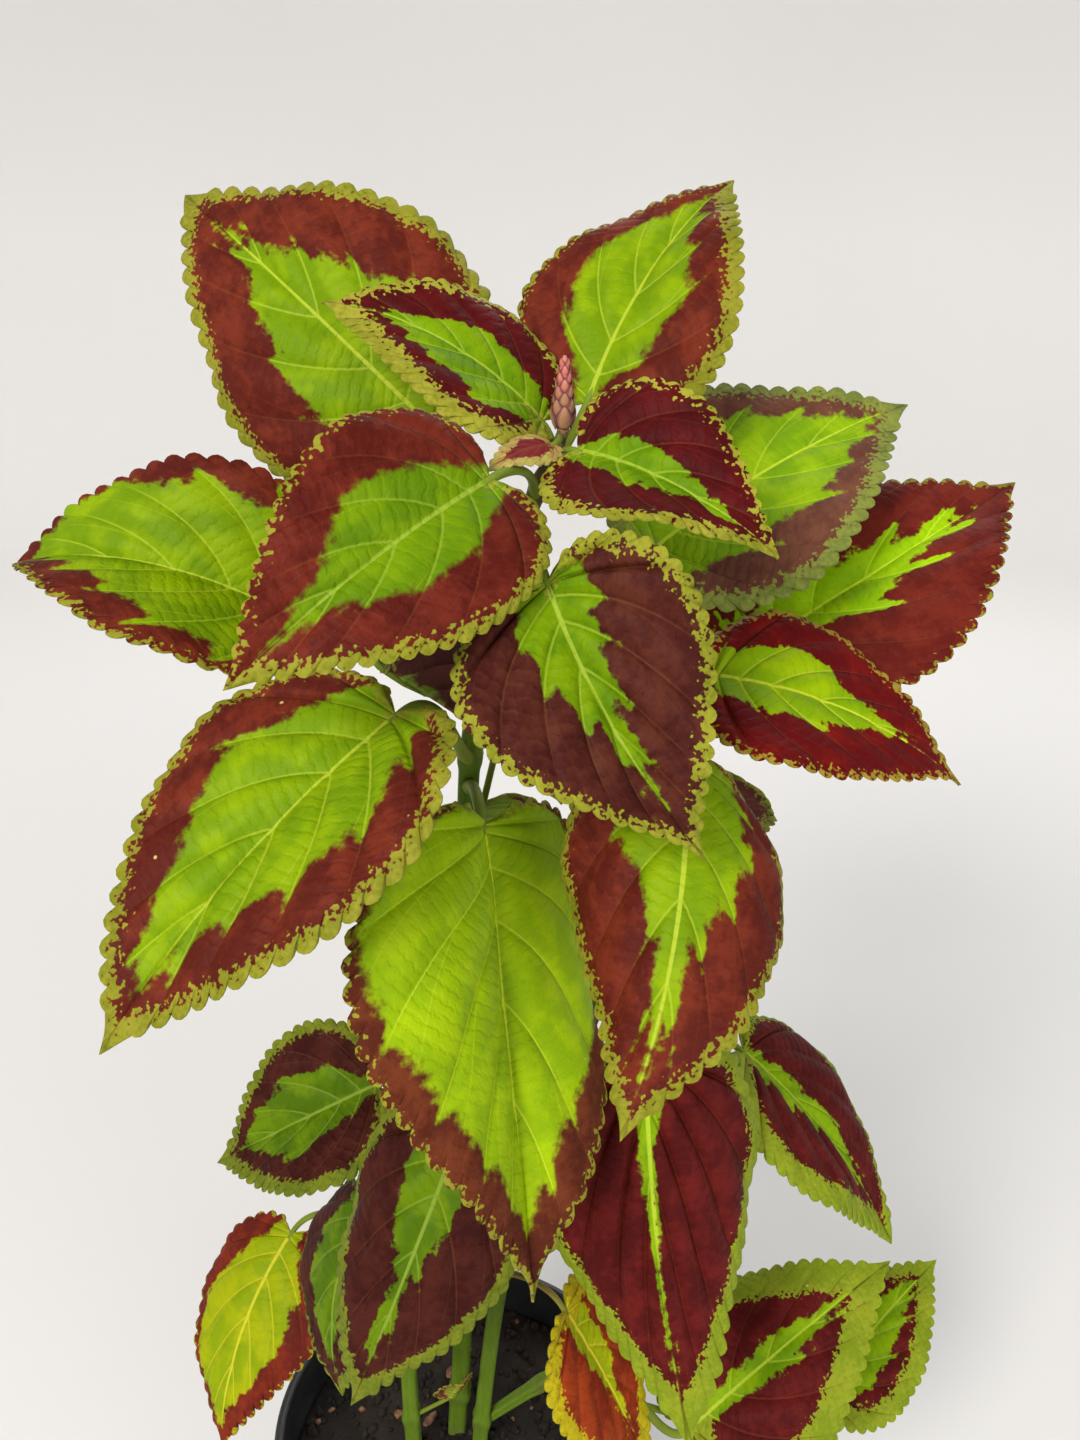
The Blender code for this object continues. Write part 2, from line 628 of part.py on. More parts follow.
def petiole_scale(length):
    """Thickness of a petiole for its blade's length: 1 at 80 mm."""
    return float(np.clip(length / 0.08, 0.55, 1.15))


def make_leaf(name, row, coat):
    spec = leaf_spec(row)
    length = np.linalg.norm(spec[1] - spec[0])
    flat, faces, loop = flat_blade(row[-1], length, spec[2])
    top = blade_points(flat, spec)
    under = top - blade_normals(flat, spec) * BLADE_THICKNESS
    count = len(flat)
    shell = list(faces) + [tuple(i + count for i in f[::-1]) for f in faces]
    for a, b in zip(loop, loop[1:] + loop[:1]):
        shell += [(a, b, b + count), (a, b + count, a + count)]
    blade = add_object(name, np.vstack([top, under]), shell, coat)
    path, radii = petiole_path(row, spec)
    petiole = add_object("petiole", *tube(path, round_outline(PETIOLE_SIDES), radii), coat)
    combine(blade, [petiole], "UNION")
    return blade


# Flower spike


def make_spike(coat):
    """A tapered core with pointed bracts in four rows, each ring turned half a step."""
    foot = np.array(STEMS["stem_main"][0][-1]) * CM + (0, 0, 2 * GAP)
    top = foot + (*SPIKE_LEAN, SPIKE_HEIGHT)
    path = foot + (top - foot) * np.linspace(0, 1, len(SPIKE_TAPER))[:, None]
    sizes = SPIKE_RADIUS * np.array(SPIKE_TAPER)
    spike = add_object("flower_spike", *tube(path, round_outline(8), sizes), coat)
    bracts = []
    for ring in range(BRACT_RINGS):
        share = ring / (BRACT_RINGS - 1)
        height = foot + (top - foot) * (BRACT_FIRST + (BRACT_LAST - BRACT_FIRST) * share)
        size = 1.0 - (1.0 - BRACT_TOP_SIZE) * share
        for i in range(BRACTS_A_RING):
            turn = 2 * math.pi / BRACTS_A_RING * (i + 0.5 * (ring % 2))
            out = np.array([math.cos(turn), math.sin(turn), 0.0])
            side = np.array([-out[1], out[0], 0.0])
            bracts.append(add_object("bract", *bract(height, out, side, size), coat))
    combine(spike, bracts, "UNION")
    return spike


def bract(height, out, side, size):
    """A small pointed scale, wide near its foot, whose tip stands out from the spike."""
    up = np.array([0.0, 0.0, 1.0])
    half = 0.5 * BRACT_WIDTH * size
    length = BRACT_LENGTH * size
    inner = height + out * SPIKE_RADIUS * 0.1
    shoulder = height + out * SPIKE_RADIUS * size * 1.05 + up * length * 0.35
    tip = height + out * SPIKE_RADIUS * size * 1.25 + up * length
    edges = [shoulder + side * half, shoulder - side * half]
    points = [inner - up * BRACT_ROOT, *edges, tip, inner + up * length * 0.5]
    faces = [(0, 1, 2), (1, 3, 2), (1, 4, 3), (2, 3, 4), (0, 4, 1), (0, 2, 4)]
    return points, faces


def main():
    clear_scene()
    plastic = material("pot_plastic", (0.012, 0.013, 0.015), 0.38)
    peat = material("soil_peat", (0.020, 0.012, 0.008), 0.95)
    stem_skin = material("stem_green", (0.10, 0.19, 0.035), 0.5)
    blade_skin = material("leaf_blade", (0.20, 0.035, 0.018), 0.5)
    spike_skin = material("spike_bract", (0.50, 0.16, 0.13), 0.6)
    make_pot(plastic)
    make_soil(peat)
    for name in STEMS:
        make_stem(name, stem_skin)
    for name, row in LEAVES.items():
        make_leaf(name, row, blade_skin)
    make_spike(spike_skin)


main()
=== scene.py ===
"""The looks of a potted coleus, piece by piece from the pot up to the flower spike, then the
studio. Lengths are metres, apart from the tables that say centimetres."""

import math

import bpy
import numpy as np
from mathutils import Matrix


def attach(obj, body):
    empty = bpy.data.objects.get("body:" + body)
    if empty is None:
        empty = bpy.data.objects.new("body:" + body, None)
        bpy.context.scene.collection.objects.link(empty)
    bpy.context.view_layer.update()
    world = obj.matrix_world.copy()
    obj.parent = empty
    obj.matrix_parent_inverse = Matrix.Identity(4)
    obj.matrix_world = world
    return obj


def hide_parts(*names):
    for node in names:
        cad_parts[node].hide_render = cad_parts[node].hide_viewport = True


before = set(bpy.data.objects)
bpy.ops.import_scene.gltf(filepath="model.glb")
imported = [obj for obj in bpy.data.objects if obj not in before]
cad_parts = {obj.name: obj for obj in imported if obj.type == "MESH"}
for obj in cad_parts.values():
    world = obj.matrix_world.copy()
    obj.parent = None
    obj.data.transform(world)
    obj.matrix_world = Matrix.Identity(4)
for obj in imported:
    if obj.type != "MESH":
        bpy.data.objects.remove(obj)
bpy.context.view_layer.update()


# ---- Nursery pot
# One thin shell of black polypropylene, moulded with a stiffening collar round its rim. It
# stands on its flat base, where six drain holes are moulded through the floor.

POT_HEIGHT = 0.105
POT_RIM_RADIUS = 0.060
POT_BASE_RADIUS = 0.043
POT_WALL = 0.0014
POT_FLOOR = 0.0020
COLLAR_HEIGHT = 0.014
COLLAR_STEP = 0.0016
COLLAR_EDGE = 0.0005
POT_SLOPE = (POT_RIM_RADIUS - COLLAR_STEP - POT_BASE_RADIUS) / POT_HEIGHT
FOOT_ROUND = 0.001
RIM_ROUND = 0.0009
POT_TURNS = 144
POT_CREASE = 35
DRAIN_HOLES = 6
DRAIN_RADIUS = 0.0045
DRAIN_CIRCLE = 0.029
DRAIN_TURNS = 28
DRAIN_REACH = (-0.002, 0.006)


def round_turns(count):
    """Evenly spaced angles, once round."""
    return np.arange(count) * 2 * math.pi / count


def grid_triangles(rows, columns, closed):
    """Two triangles for each cell of a grid of points, its last column joined to the first if
    closed."""
    row = np.arange(rows - 1)[:, None]
    column = np.arange(columns if closed else columns - 1)[None, :]
    a = row * columns + column
    b = row * columns + (column + 1) % columns
    halves = np.stack([a, b, b + columns, a, b + columns, a + columns], axis=-1)
    return halves.reshape(-1, 3)


def welded(points, triangles, layers):
    """Points that lie on one another become one, and triangles that this closes up are dropped."""
    _, first, index = np.unique(
        np.round(points, 7), axis=0, return_index=True, return_inverse=True
    )
    triangles = index.reshape(-1)[triangles]
    a, b, c = triangles.T
    keep = (a != b) & (b != c) & (c != a)
    return points[first], triangles[keep], {k: v[first] for k, v in layers.items()}, keep


def add_piece(name, points, triangles, coats, coat_of=None, layers=None, sharp=None):
    """A mesh object whose faces point outwards: they are turned where the signed volume, a sixth
    of the sum of a . (b x c) over the triangles, is below zero. Layers are three numbers a
    point."""
    points, triangles, layers, keep = welded(
        np.asarray(points, float).reshape(-1, 3), np.asarray(triangles), layers or {}
    )
    a, b, c = (points[triangles[:, i]] for i in range(3))
    if np.einsum("ij,ij->", a, np.cross(b, c)) < 0:
        triangles = triangles[:, ::-1]
    mesh = bpy.data.meshes.new(name)
    mesh.from_pydata(points.tolist(), [], triangles.tolist())
    mesh.polygons.foreach_set("use_smooth", np.ones(len(triangles), bool))
    for coat in coats:
        mesh.materials.append(coat)
    if coat_of is not None:
        mesh.polygons.foreach_set("material_index", np.asarray(coat_of)[keep].astype(np.int32))
    for layer, values in layers.items():
        made = mesh.attributes.new(layer, "FLOAT_VECTOR", "POINT")
        made.data.foreach_set("vector", values.astype(np.float32).ravel())
    if sharp is not None:
        mesh.set_sharp_from_angle(angle=math.radians(sharp))
    piece = bpy.data.objects.new(name, mesh)
    bpy.context.scene.collection.objects.link(piece)
    return piece


class Coat:
    """A procedural material, built a node at a time. Each method gives the socket it makes."""

    def __init__(self, name, fixed):
        self.material = bpy.data.materials.new(name)
        self.material.use_nodes = True
        self.tree = self.material.node_tree
        self.shader = self.tree.nodes["Principled BSDF"]
        for socket, value in fixed.items():
            self.shader.inputs[socket].default_value = value

    def join(self, value, socket):
        """A socket is linked, and a number or a colour is set."""
        if isinstance(value, bpy.types.NodeSocket):
            self.tree.links.new(value, socket)
        elif isinstance(value, tuple) and len(value) == 3 and socket.type == "RGBA":
            socket.default_value = (*value, 1.0)
        else:
            socket.default_value = value

    def node(self, kind, inputs, output=0, **settings):
        """A new node of a kind, with its settings and inputs given."""
        made = self.tree.nodes.new(kind)
        for key, value in settings.items():
            setattr(made, key, value)
        for key, value in inputs.items():
            self.join(value, made.inputs[key])
        return made.outputs[output]

    def do(self, operation, *values):
        """One sum of the values, such as the sign, the floor or the larger of two."""
        return self.node("ShaderNodeMath", dict(enumerate(values)), operation=operation)

    def times(self, first, second):
        """The first value times the second."""
        return self.do("MULTIPLY", first, second)

    def less(self, first, second):
        """The first value minus the second."""
        return self.do("SUBTRACT", first, second)

    def total(self, first, *terms):
        """The first value and each further (value, weight) pair, added up."""
        for value, weight in terms:
            first = self.do("MULTIPLY_ADD", value, weight, first)
        return first

    def step(self, value, low, high):
        """A soft step: 0 below the low value, 1 above the high one, smooth in between."""
        limits = {"Value": value, "From Min": low, "From Max": high}
        return self.node("ShaderNodeMapRange", limits, interpolation_type="SMOOTHSTEP")

    def blend(self, share, first, second):
        """The first colour where the share is 0 and the second where it is 1."""
        return self.node("ShaderNodeMix", {0: share, 6: first, 7: second}, 2, data_type="RGBA")

    def noise(self, where, scale, detail=2.0, roughness=0.5):
        """Soft noise between 0 and 1, with about as many lumps to the unit as the scale says."""
        wanted = {"Vector": where, "Scale": scale, "Detail": detail, "Roughness": roughness}
        return self.node("ShaderNodeTexNoise", wanted)

    def ripple(self, *wanted):
        """Noise less a half, so that it lies round zero."""
        return self.less(self.noise(*wanted), 0.5)

    def drawn(self, place, height):
        """A place whose height is squeezed, so that a pattern on it is drawn out upwards."""
        return self.node("ShaderNodeMapping", {"Vector": place, "Scale": (1.0, 1.0, height)})

    def parts(self, vector):
        """The three numbers of a vector."""
        made = self.tree.nodes.new("ShaderNodeSeparateXYZ")
        self.tree.links.new(vector, made.inputs[0])
        return tuple(made.outputs)

    def place(self):
        """Where a point lies, in metres."""
        return self.node("ShaderNodeTexCoord", {}, "Object")

    def layer(self, name):
        """The three numbers that a mesh layer holds at a point."""
        return self.node("ShaderNodeAttribute", {}, "Vector", attribute_name=name)

    def finish(self, colour, roughness, height=None, depth=0.0005, strength=0.5):
        """The material, with its colour, its roughness and a bump where a height is given."""
        self.join(colour, self.shader.inputs["Base Color"])
        self.join(roughness, self.shader.inputs["Roughness"])
        if height is not None:
            bump = {"Height": height, "Distance": depth, "Strength": strength}
            normal = self.node("ShaderNodeBump", bump)
            self.tree.links.new(normal, self.shader.inputs["Normal"])
        return self.material


def pot_coat():
    """Black plastic: a dark base colour, faint drawn marks up the wall and a little dust."""
    coat = Coat("pot_black_plastic", {"Specular IOR Level": 0.5})
    place = coat.place()
    _, _, z = coat.parts(place)
    marks = coat.noise(coat.drawn(place, 0.06), 900.0, 3.0)
    dust = coat.step(coat.noise(place, 55.0, 5.0, 0.62), 0.50, 0.74)
    grit = coat.step(coat.noise(place, 900.0, 2.0), 0.66, 0.74)
    low = coat.step(z, 0.055, 0.0)
    dusty = coat.times(dust, coat.total(0.16, (low, 0.30)))
    colour = coat.blend(dusty, (0.0105, 0.0112, 0.0130), (0.105, 0.092, 0.075))
    colour = coat.blend(coat.times(grit, 0.22), colour, (0.12, 0.09, 0.06))
    rough = coat.total(0.36, (dust, 0.26), (marks, 0.10))
    height = coat.total(coat.times(marks, 0.35), (grit, 0.6))
    return coat.finish(colour, rough, height, 0.00012, 0.5)


def arc(r, z, out, up, first, last, count):
    """Points (r + out cos t, z + up sin t) from the first to the last t, in degrees."""
    t = np.radians(np.linspace(first, last, count))
    return np.stack([r + out * np.cos(t), z + up * np.sin(t)], axis=1)


def pot_profile():
    """Radius and height from the middle of the underside, up the outer wall, over the rolled rim,
    down the inner wall and back to the middle, with the corners rounded by short arcs."""
    collar_foot = POT_HEIGHT - COLLAR_HEIGHT
    foot_radius = POT_BASE_RADIUS + POT_SLOPE * collar_foot
    inside = POT_RIM_RADIUS - COLLAR_STEP - POT_WALL
    floor_inside = POT_BASE_RADIUS + POT_SLOPE * POT_FLOOR - POT_WALL
    base = [(0.0, 0.0), (POT_BASE_RADIUS * 0.5, 0.0)]
    foot = arc(POT_BASE_RADIUS - FOOT_ROUND, FOOT_ROUND, FOOT_ROUND, FOOT_ROUND, -90, 0, 5)
    rise = np.linspace(0.12, 0.97, 8) * collar_foot
    wall = np.stack([POT_BASE_RADIUS + POT_SLOPE * rise, rise], axis=1)
    collar = [
        (foot_radius + 0.0001, collar_foot - 0.0004),
        (foot_radius + 0.0003, collar_foot),
        (POT_RIM_RADIUS - COLLAR_EDGE, collar_foot),
        (POT_RIM_RADIUS - 0.3 * COLLAR_EDGE, collar_foot + 0.3 * COLLAR_EDGE),
        (POT_RIM_RADIUS, collar_foot + COLLAR_EDGE),
        (POT_RIM_RADIUS - 0.0001, collar_foot + 0.5 * COLLAR_HEIGHT),
    ]
    middle = 0.5 * (POT_RIM_RADIUS + inside)
    reach = 0.5 * (POT_RIM_RADIUS - inside)
    rim = arc(middle, POT_HEIGHT - RIM_ROUND, reach, RIM_ROUND, 0, 180, 9)
    down = np.array([0.08, 0.2, 0.4, 0.6, 0.8, 0.96])
    down = np.stack([inside + (floor_inside - inside) * down,
                     POT_HEIGHT * (1 - down) + POT_FLOOR * down], axis=1)
    floor = [(floor_inside - 0.0008, POT_FLOOR), (0.0, POT_FLOOR)]
    return np.vstack([base, foot, wall, collar, rim, down, floor])


def turned(profile, turns):
    """A profile of radius and height carried round the upright axis: x = r cos t, y = r sin t."""
    t = round_turns(turns)
    r, z = profile[:, :1], profile[:, 1:]
    points = np.stack([r * np.cos(t), r * np.sin(t), z + 0 * t], axis=-1)
    return points.reshape(-1, 3), grid_triangles(len(profile), turns, True)


def cut_holes(piece, cutters):
    """The piece less the cutters, by one exact Boolean, with the cutters then removed."""
    group = bpy.data.collections.new("cutters")
    for cutter in cutters:
        bpy.context.scene.collection.objects.unlink(cutter)
        group.objects.link(cutter)
    bpy.context.scene.collection.children.link(group)
    cut = piece.modifiers.new("holes", "BOOLEAN")
    cut.operation, cut.operand_type, cut.solver = "DIFFERENCE", "COLLECTION", "EXACT"
    cut.collection = group
    graph = bpy.context.evaluated_depsgraph_get()
    mesh = bpy.data.meshes.new_from_object(piece.evaluated_get(graph))
    piece.modifiers.clear()
    piece.data = mesh
    for cutter in cutters:
        bpy.data.objects.remove(cutter, do_unlink=True)
    bpy.data.collections.remove(group)
    mesh.set_sharp_from_angle(angle=math.radians(POT_CREASE))


black_plastic = pot_coat()
pot = add_piece("pot_shell", *turned(pot_profile(), POT_TURNS), [black_plastic])
drains = []
low, high = DRAIN_REACH
column = np.array([(0.0, low), (DRAIN_RADIUS, low), (DRAIN_RADIUS, high), (0.0, high)])
for turn in round_turns(DRAIN_HOLES):
    points, triangles = turned(column, DRAIN_TURNS)
    points = points + (DRAIN_CIRCLE * math.cos(turn), DRAIN_CIRCLE * math.sin(turn), 0.0)
    drains.append(add_piece("drain", points, triangles, [black_plastic]))
cut_holes(pot, drains)
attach(pot, "root")
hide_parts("pot")


# ---- Soil
# Damp dark peat with crumbs on top and a few bits of tan bark. It fills the pot to 15 mm under
# the rim, and the stems stand in it.

SOIL_TOP = 0.090
SOIL_CROWN = 0.0015
SOIL_GAP = 0.0003
SOIL_TURNS = 150
SOIL_RINGS = 46
SOIL_LUMPS = 0.00052
# Pitch of the broadest wave of a rough height, in radians a metre
BROADEST = 90.0
CRUMBS = 620
BARK_BITS = 46
SCATTER_RADIUS = 0.0535
LUMP_RINGS = 5
LUMP_SIDES = 7


def peat_coat():
    """Peat: near-black crumbs with brown fibre, rough and damp."""
    coat = Coat("peat", {"Specular IOR Level": 0.3})
    place = coat.place()
    fibre = coat.noise(place, 420.0, 6.0, 0.7)
    patches = coat.step(coat.noise(place, 70.0, 3.0), 0.35, 0.7)
    colour = coat.blend(patches, (0.008, 0.0055, 0.0040), (0.022, 0.014, 0.009))
    colour = coat.blend(coat.step(fibre, 0.60, 0.72), colour, (0.10, 0.055, 0.028))
    return coat.finish(colour, coat.total(0.72, (fibre, 0.25)), fibre, 0.0009, 0.8)


def bark_coat():
    """Dry bark: tan with darker fibres along it."""
    coat = Coat("bark_bits", {})
    fibre = coat.noise(coat.place(), 700.0, 4.0, 0.6)
    colour = coat.step(fibre, 0.3, 0.7)
    colour = coat.blend(colour, (0.075, 0.030, 0.013), (0.27, 0.125, 0.052))
    return coat.finish(colour, 0.8, fibre, 0.0004, 0.6)


def ramp(value, low, high):
    """0 up to the low value, 1 from the high one on, and a straight line in between."""
    return np.clip((value - low) / (high - low), 0, 1)


def swung(a, b, turn):
    """Two coordinates turned together: a cos t - b sin t and a sin t + b cos t."""
    return a * np.cos(turn) - b * np.sin(turn), a * np.sin(turn) + b * np.cos(turn)


def soft_waves(x, y, seed, waves=26, finest=900.0):
    """A rough height: the sum of sine waves in random directions, each as high as it is long."""
    rng = np.random.default_rng(seed)
    total = 0.0
    for pitch in np.geomspace(BROADEST, finest, waves):
        turn, start = rng.uniform(0, 2 * math.pi, 2)
        along = x * math.cos(turn) + y * math.sin(turn)
        total = total + np.sin(pitch * along + start) * BROADEST / pitch
    return total


def soil_height(x, y):
    """Level peat a little higher at the middle, with lumps from soft waves."""
    far = np.hypot(x, y) / POT_RIM_RADIUS
    calm = 1 - 0.6 * ramp(far, 0.75, 0.95)
    return SOIL_TOP + SOIL_CROWN * (1 - far**2) + SOIL_LUMPS * soft_waves(x, y, 3) * calm


def soil_body():
    """Rings from the middle of the top out to the wall, then down the wall and in to the middle."""
    foot_radius = POT_BASE_RADIUS + POT_SLOPE * POT_FLOOR - POT_WALL - SOIL_GAP
    edge_radius = foot_radius + POT_SLOPE * (SOIL_TOP - POT_FLOOR)
    t = round_turns(SOIL_TURNS)
    r = np.concatenate([[0.0], np.linspace(0.0012, edge_radius, SOIL_RINGS)])[:, None]
    x, y = r * np.cos(t), r * np.sin(t)
    top = np.stack([x, y, soil_height(x, y)], axis=-1)
    side = [np.stack([a * np.cos(t), a * np.sin(t), 0 * t + POT_FLOOR + SOIL_GAP], axis=-1)
            for a in (foot_radius, 0.0)]
    points = np.concatenate([top, np.array(side)])
    return points.reshape(-1, 3), grid_triangles(len(points), SOIL_TURNS, True)


def scattered(count, seed, size, stretch, lift):
    """Small lumps on the peat: rings of points on a ball, each point's radius jittered, then
    stretched and turned at random, all in one mesh."""
    rng = np.random.default_rng(seed)
    far = SCATTER_RADIUS * np.sqrt(rng.uniform(0, 1, count))
    turn = rng.uniform(0, 2 * math.pi, count)
    x, y = far * np.cos(turn), far * np.sin(turn)
    scale = size * rng.uniform(0.5, 1.6, (count, 1))
    scale = scale * (1 + rng.uniform(0, 1, (count, 3)) * np.array(stretch))
    up = np.linspace(0, math.pi, LUMP_RINGS)[:, None]
    around = round_turns(LUMP_SIDES)
    ball = np.stack([np.sin(up) * np.cos(around), np.sin(up) * np.sin(around),
                     np.cos(up) + 0 * around], axis=-1)
    wobble = rng.uniform(0.75, 1.25, (count, LUMP_RINGS, LUMP_SIDES, 1))
    wobble[:, 0] = wobble[:, 0, :1]
    wobble[:, -1] = wobble[:, -1, :1]
    a, b, c = np.moveaxis(ball * wobble * scale[:, None, None], -1, 0)
    spin = rng.uniform(0, 2 * math.pi, count)[:, None, None]
    tip = rng.uniform(-0.5, 0.5, count)[:, None, None]
    a, c = swung(a, c, tip)
    a, b = swung(a, b, spin)
    middle = np.stack([x, y, soil_height(x, y) + lift * size], axis=-1)
    points = np.stack([a, b, c], axis=-1) + middle[:, None, None]
    lump = grid_triangles(LUMP_RINGS, LUMP_SIDES, True)
    first = np.arange(count)[:, None, None] * LUMP_RINGS * LUMP_SIDES
    return points.reshape(-1, 3), (lump + first).reshape(-1, 3)


peat = peat_coat()
soil = add_piece("soil_surface", *soil_body(), [peat])
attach(soil, "root")
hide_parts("soil")
lumps = scattered(CRUMBS, 11, 0.00085, (0.5, 0.5, 0.5), 0.35)
crumbs = add_piece("soil_crumbs", *lumps, [peat])
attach(crumbs, "root")
lumps = scattered(BARK_BITS, 12, 0.00075, (2.6, 1.0, 0.2), 0.5)
bark = add_piece("bark_bits", *lumps, [bark_coat()])
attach(bark, "root")


# ---- Stems
# Soft green stems, square with grooved sides, swollen at the nodes where leaves sit in pairs.
# Three are rooted in the soil, and a short shoot grows low on the right-hand one.

CM = 0.01
STEM_SIDES = 32
STEM_STEP = 0.0016
# How much thicker a stem is at a node, as a share, and how far along it the swelling reaches
NODE_SWELL = 0.26
NODE_REACH = 0.0024

# Centre line and width at each of its points, then the heights of the nodes, in centimetres
STEMS = {
    "stem_main": (
        ((-0.3, 0.6, 7.0), (-0.1, 0.5, 10.0), (0.1, 0.5, 13.0), (0.5, 0.3, 23.0), (0.7, 0.1, 29.8),
         (0.85, 0.0, 33.7), (1.3, 0.0, 36.8), (1.98, 0.0, 39.1), (2.65, 0.1, 40.8),
         (3.04, 0.2, 41.6), (3.18, 0.2, 42.0)),
        (0.62, 0.62, 0.6, 0.56, 0.54, 0.54, 0.5, 0.46, 0.4, 0.3, 0.26),
        (10.9, 28.0, 31.4, 34.0, 36.6, 39.3, 40.8),
    ),
    "stem_right": (
        ((0.5, -0.3, 7.0), (0.75, -0.3, 10.7), (1.3, -0.3, 15.7), (2.0, 0.0, 19.5),
         (3.2, 0.4, 22.9), (5.3, 0.7, 29.4), (6.55, 0.8, 34.3), (6.6, 0.8, 36.2),
         (6.55, 0.9, 37.0)),
        (0.5, 0.5, 0.48, 0.46, 0.44, 0.4, 0.36, 0.3, 0.16),
        (10.7, 17.0, 24.4, 32.6, 34.6, 36.2),
    ),
    "stem_left": (
        ((-1.4, -0.6, 7.0), (-1.5, -0.6, 13.0), (-1.3, -0.5, 20.0), (-1.1, -0.4, 22.8)),
        (0.5, 0.48, 0.42, 0.32),
        (11.3, 18.4, 22.4),
    ),
    "shoot_low_right": (
        ((0.85, -0.25, 10.6), (2.0, -0.3, 11.7), (3.1, -0.3, 12.6), (4.5, 0.0, 13.2),
         (5.6, 0.5, 13.7)),
        (0.30, 0.36, 0.36, 0.34, 0.26),
        (12.3, 13.4),
    ),
}


def unit(vectors):
    """Each vector divided by its length."""
    return vectors / np.linalg.norm(vectors, axis=-1, keepdims=True)


def bell(distance, width):
    """A bell curve: e to the power of minus the square of distance over width."""
    return np.exp(-((distance / width) ** 2))


def smooth_path(points, spacing):
    """Points about every spacing along the curve that passes through the given points, where each
    stretch is the cubic whose slope at a point is half the step between its neighbours."""
    keys = np.asarray(points, float)
    keys = np.vstack([2 * keys[0] - keys[1], keys, 2 * keys[-1] - keys[-2]])
    stretches = []
    for a, b, c, d in zip(keys, keys[1:], keys[2:], keys[3:]):
        steps = max(1, round(float(np.linalg.norm(c - b)) / spacing))
        t = (np.arange(steps) / steps)[:, None]
        bend = (2 * a - 5 * b + 4 * c - d) * t**2 + (3 * b - a - 3 * c + d) * t**3
        stretches.append(0.5 * (2 * b + (c - a) * t + bend))
    return np.vstack([*stretches, keys[-2:-1]])


def carried(path, outline, sizes, side=(1.0, 0.0, 0.0)):
    """An outline carried along a path, turned as little as possible: middle + side * x * size +
    up * y * size, with both ends closed to their middle."""
    ahead = unit(np.gradient(path, axis=0))
    sides = []
    for direction in ahead:
        side = unit(side - direction * np.dot(side, direction))
        sides.append(side)
    sides = np.array(sides)
    ups = np.cross(ahead, sides)
    sizes = np.asarray(sizes)[:, None, None]
    rings = (path[:, None] + sides[:, None] * outline[:, :1] * sizes
             + ups[:, None] * outline[:, 1:] * sizes)
    first = np.broadcast_to(path[:1, None], rings[:1].shape)
    last = np.broadcast_to(path[-1:, None], rings[:1].shape)
    points = np.concatenate([first, rings, last])
    return points.reshape(-1, 3), grid_triangles(len(points), len(outline), True)


def stem_line(name):
    """Middle and width of a stem at close points, swollen in a soft bell round each node, and
    the distance to the nearest node."""
    line, widths, nodes = STEMS[name]
    keys = np.array(line) * CM
    path = smooth_path(keys, STEM_STEP)
    sizes = np.interp(path[:, 2], keys[:, 2], np.array(widths) * CM)
    near = np.min(np.abs(path[:, 2:] - np.array(nodes) * CM), axis=1)
    return path, sizes * (1 + NODE_SWELL * bell(near, NODE_REACH)), near


def square_grooved(count):
    """A rounded square with a shallow groove down each side: the radius is 0.5 over the fifth
    root of |cos|^5 + |sin|^5, less a little at the middle of each side."""
    t = round_turns(count)
    radius = 0.5 / (np.abs(np.cos(t)) ** 5 + np.abs(np.sin(t)) ** 5) ** 0.2
    radius *= 1 - 0.09 * np.cos(2 * t) ** 8
    return np.stack([radius * np.cos(t), radius * np.sin(t)], axis=1)


def stem_coat():
    """Stem skin: fresh green, purplish round the nodes and towards the top, woody at the foot,
    with fine lengthwise streaks. The layer 'stem' holds the distance to the nearest node in mm
    and the height along the plant in dm."""
    coat = Coat("stem_skin", {"Sheen Weight": 0.01, "Specular IOR Level": 0.15})
    place = coat.place()
    near, height, _ = coat.parts(coat.layer("stem"))
    streaks = coat.noise(coat.drawn(place, 0.12), 1500.0, 3.0)
    patches = coat.noise(place, 130.0, 3.0)
    green = coat.blend(streaks, (0.062, 0.120, 0.006), (0.140, 0.215, 0.018))
    high = coat.step(height, 3.55, 4.05)
    purple = coat.total(high, (patches, 0.8), (coat.step(near, 3.0, 0.0), 0.35))
    purple = coat.times(coat.step(purple, 0.55, 1.15), 0.75)
    colour = coat.blend(purple, green, (0.090, 0.032, 0.030))
    woody = coat.step(coat.total(height, (patches, 0.5)), 1.28, 1.02)
    colour = coat.blend(coat.times(woody, 0.35), colour, (0.15, 0.13, 0.055))
    down = coat.noise(place, 3200.0, 2.0)
    relief = coat.total(coat.times(streaks, 0.6), (down, 0.4))
    return coat.finish(colour, coat.total(0.44, (patches, 0.14)), relief, 0.00018, 0.5)


stem_skin = stem_coat()
for name in STEMS:
    path, sizes, near = stem_line(name)
    points, triangles = carried(path, square_grooved(STEM_SIDES), sizes)
    layer = np.stack([near * 1000, path[:, 2] * 10, 0 * near], axis=1)
    layer = np.repeat(np.pad(layer, ((1, 1), (0, 0)), "edge"), STEM_SIDES, axis=0)
    stem = add_piece(name + "_skin", points, triangles, [stem_skin], layers={"stem": layer})
    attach(stem, "root")
    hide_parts(name)


# ---- Leaves
# Each leaf is one thin soft blade with a crenate margin, quilted between its side veins, on a
# petiole that grows from a stem node. Lime runs out from the midrib, red lies round it and the
# scalloped edge is olive.

# Half a blade from the notch at its base to its tip: share of the length, share of the half width
LEAF_HALF = (
    (0.0, 0.0), (-0.035, 0.16), (-0.045, 0.36), (-0.01, 0.62), (0.09, 0.87), (0.24, 1.0),
    (0.42, 0.95), (0.60, 0.72), (0.76, 0.43), (0.88, 0.19), (0.95, 0.065), (1.0, 0.0),
)
# Points along half a margin for its shape, and for the blade's breadth
MARGIN_POINTS = 601
BREADTH_POINTS = 401
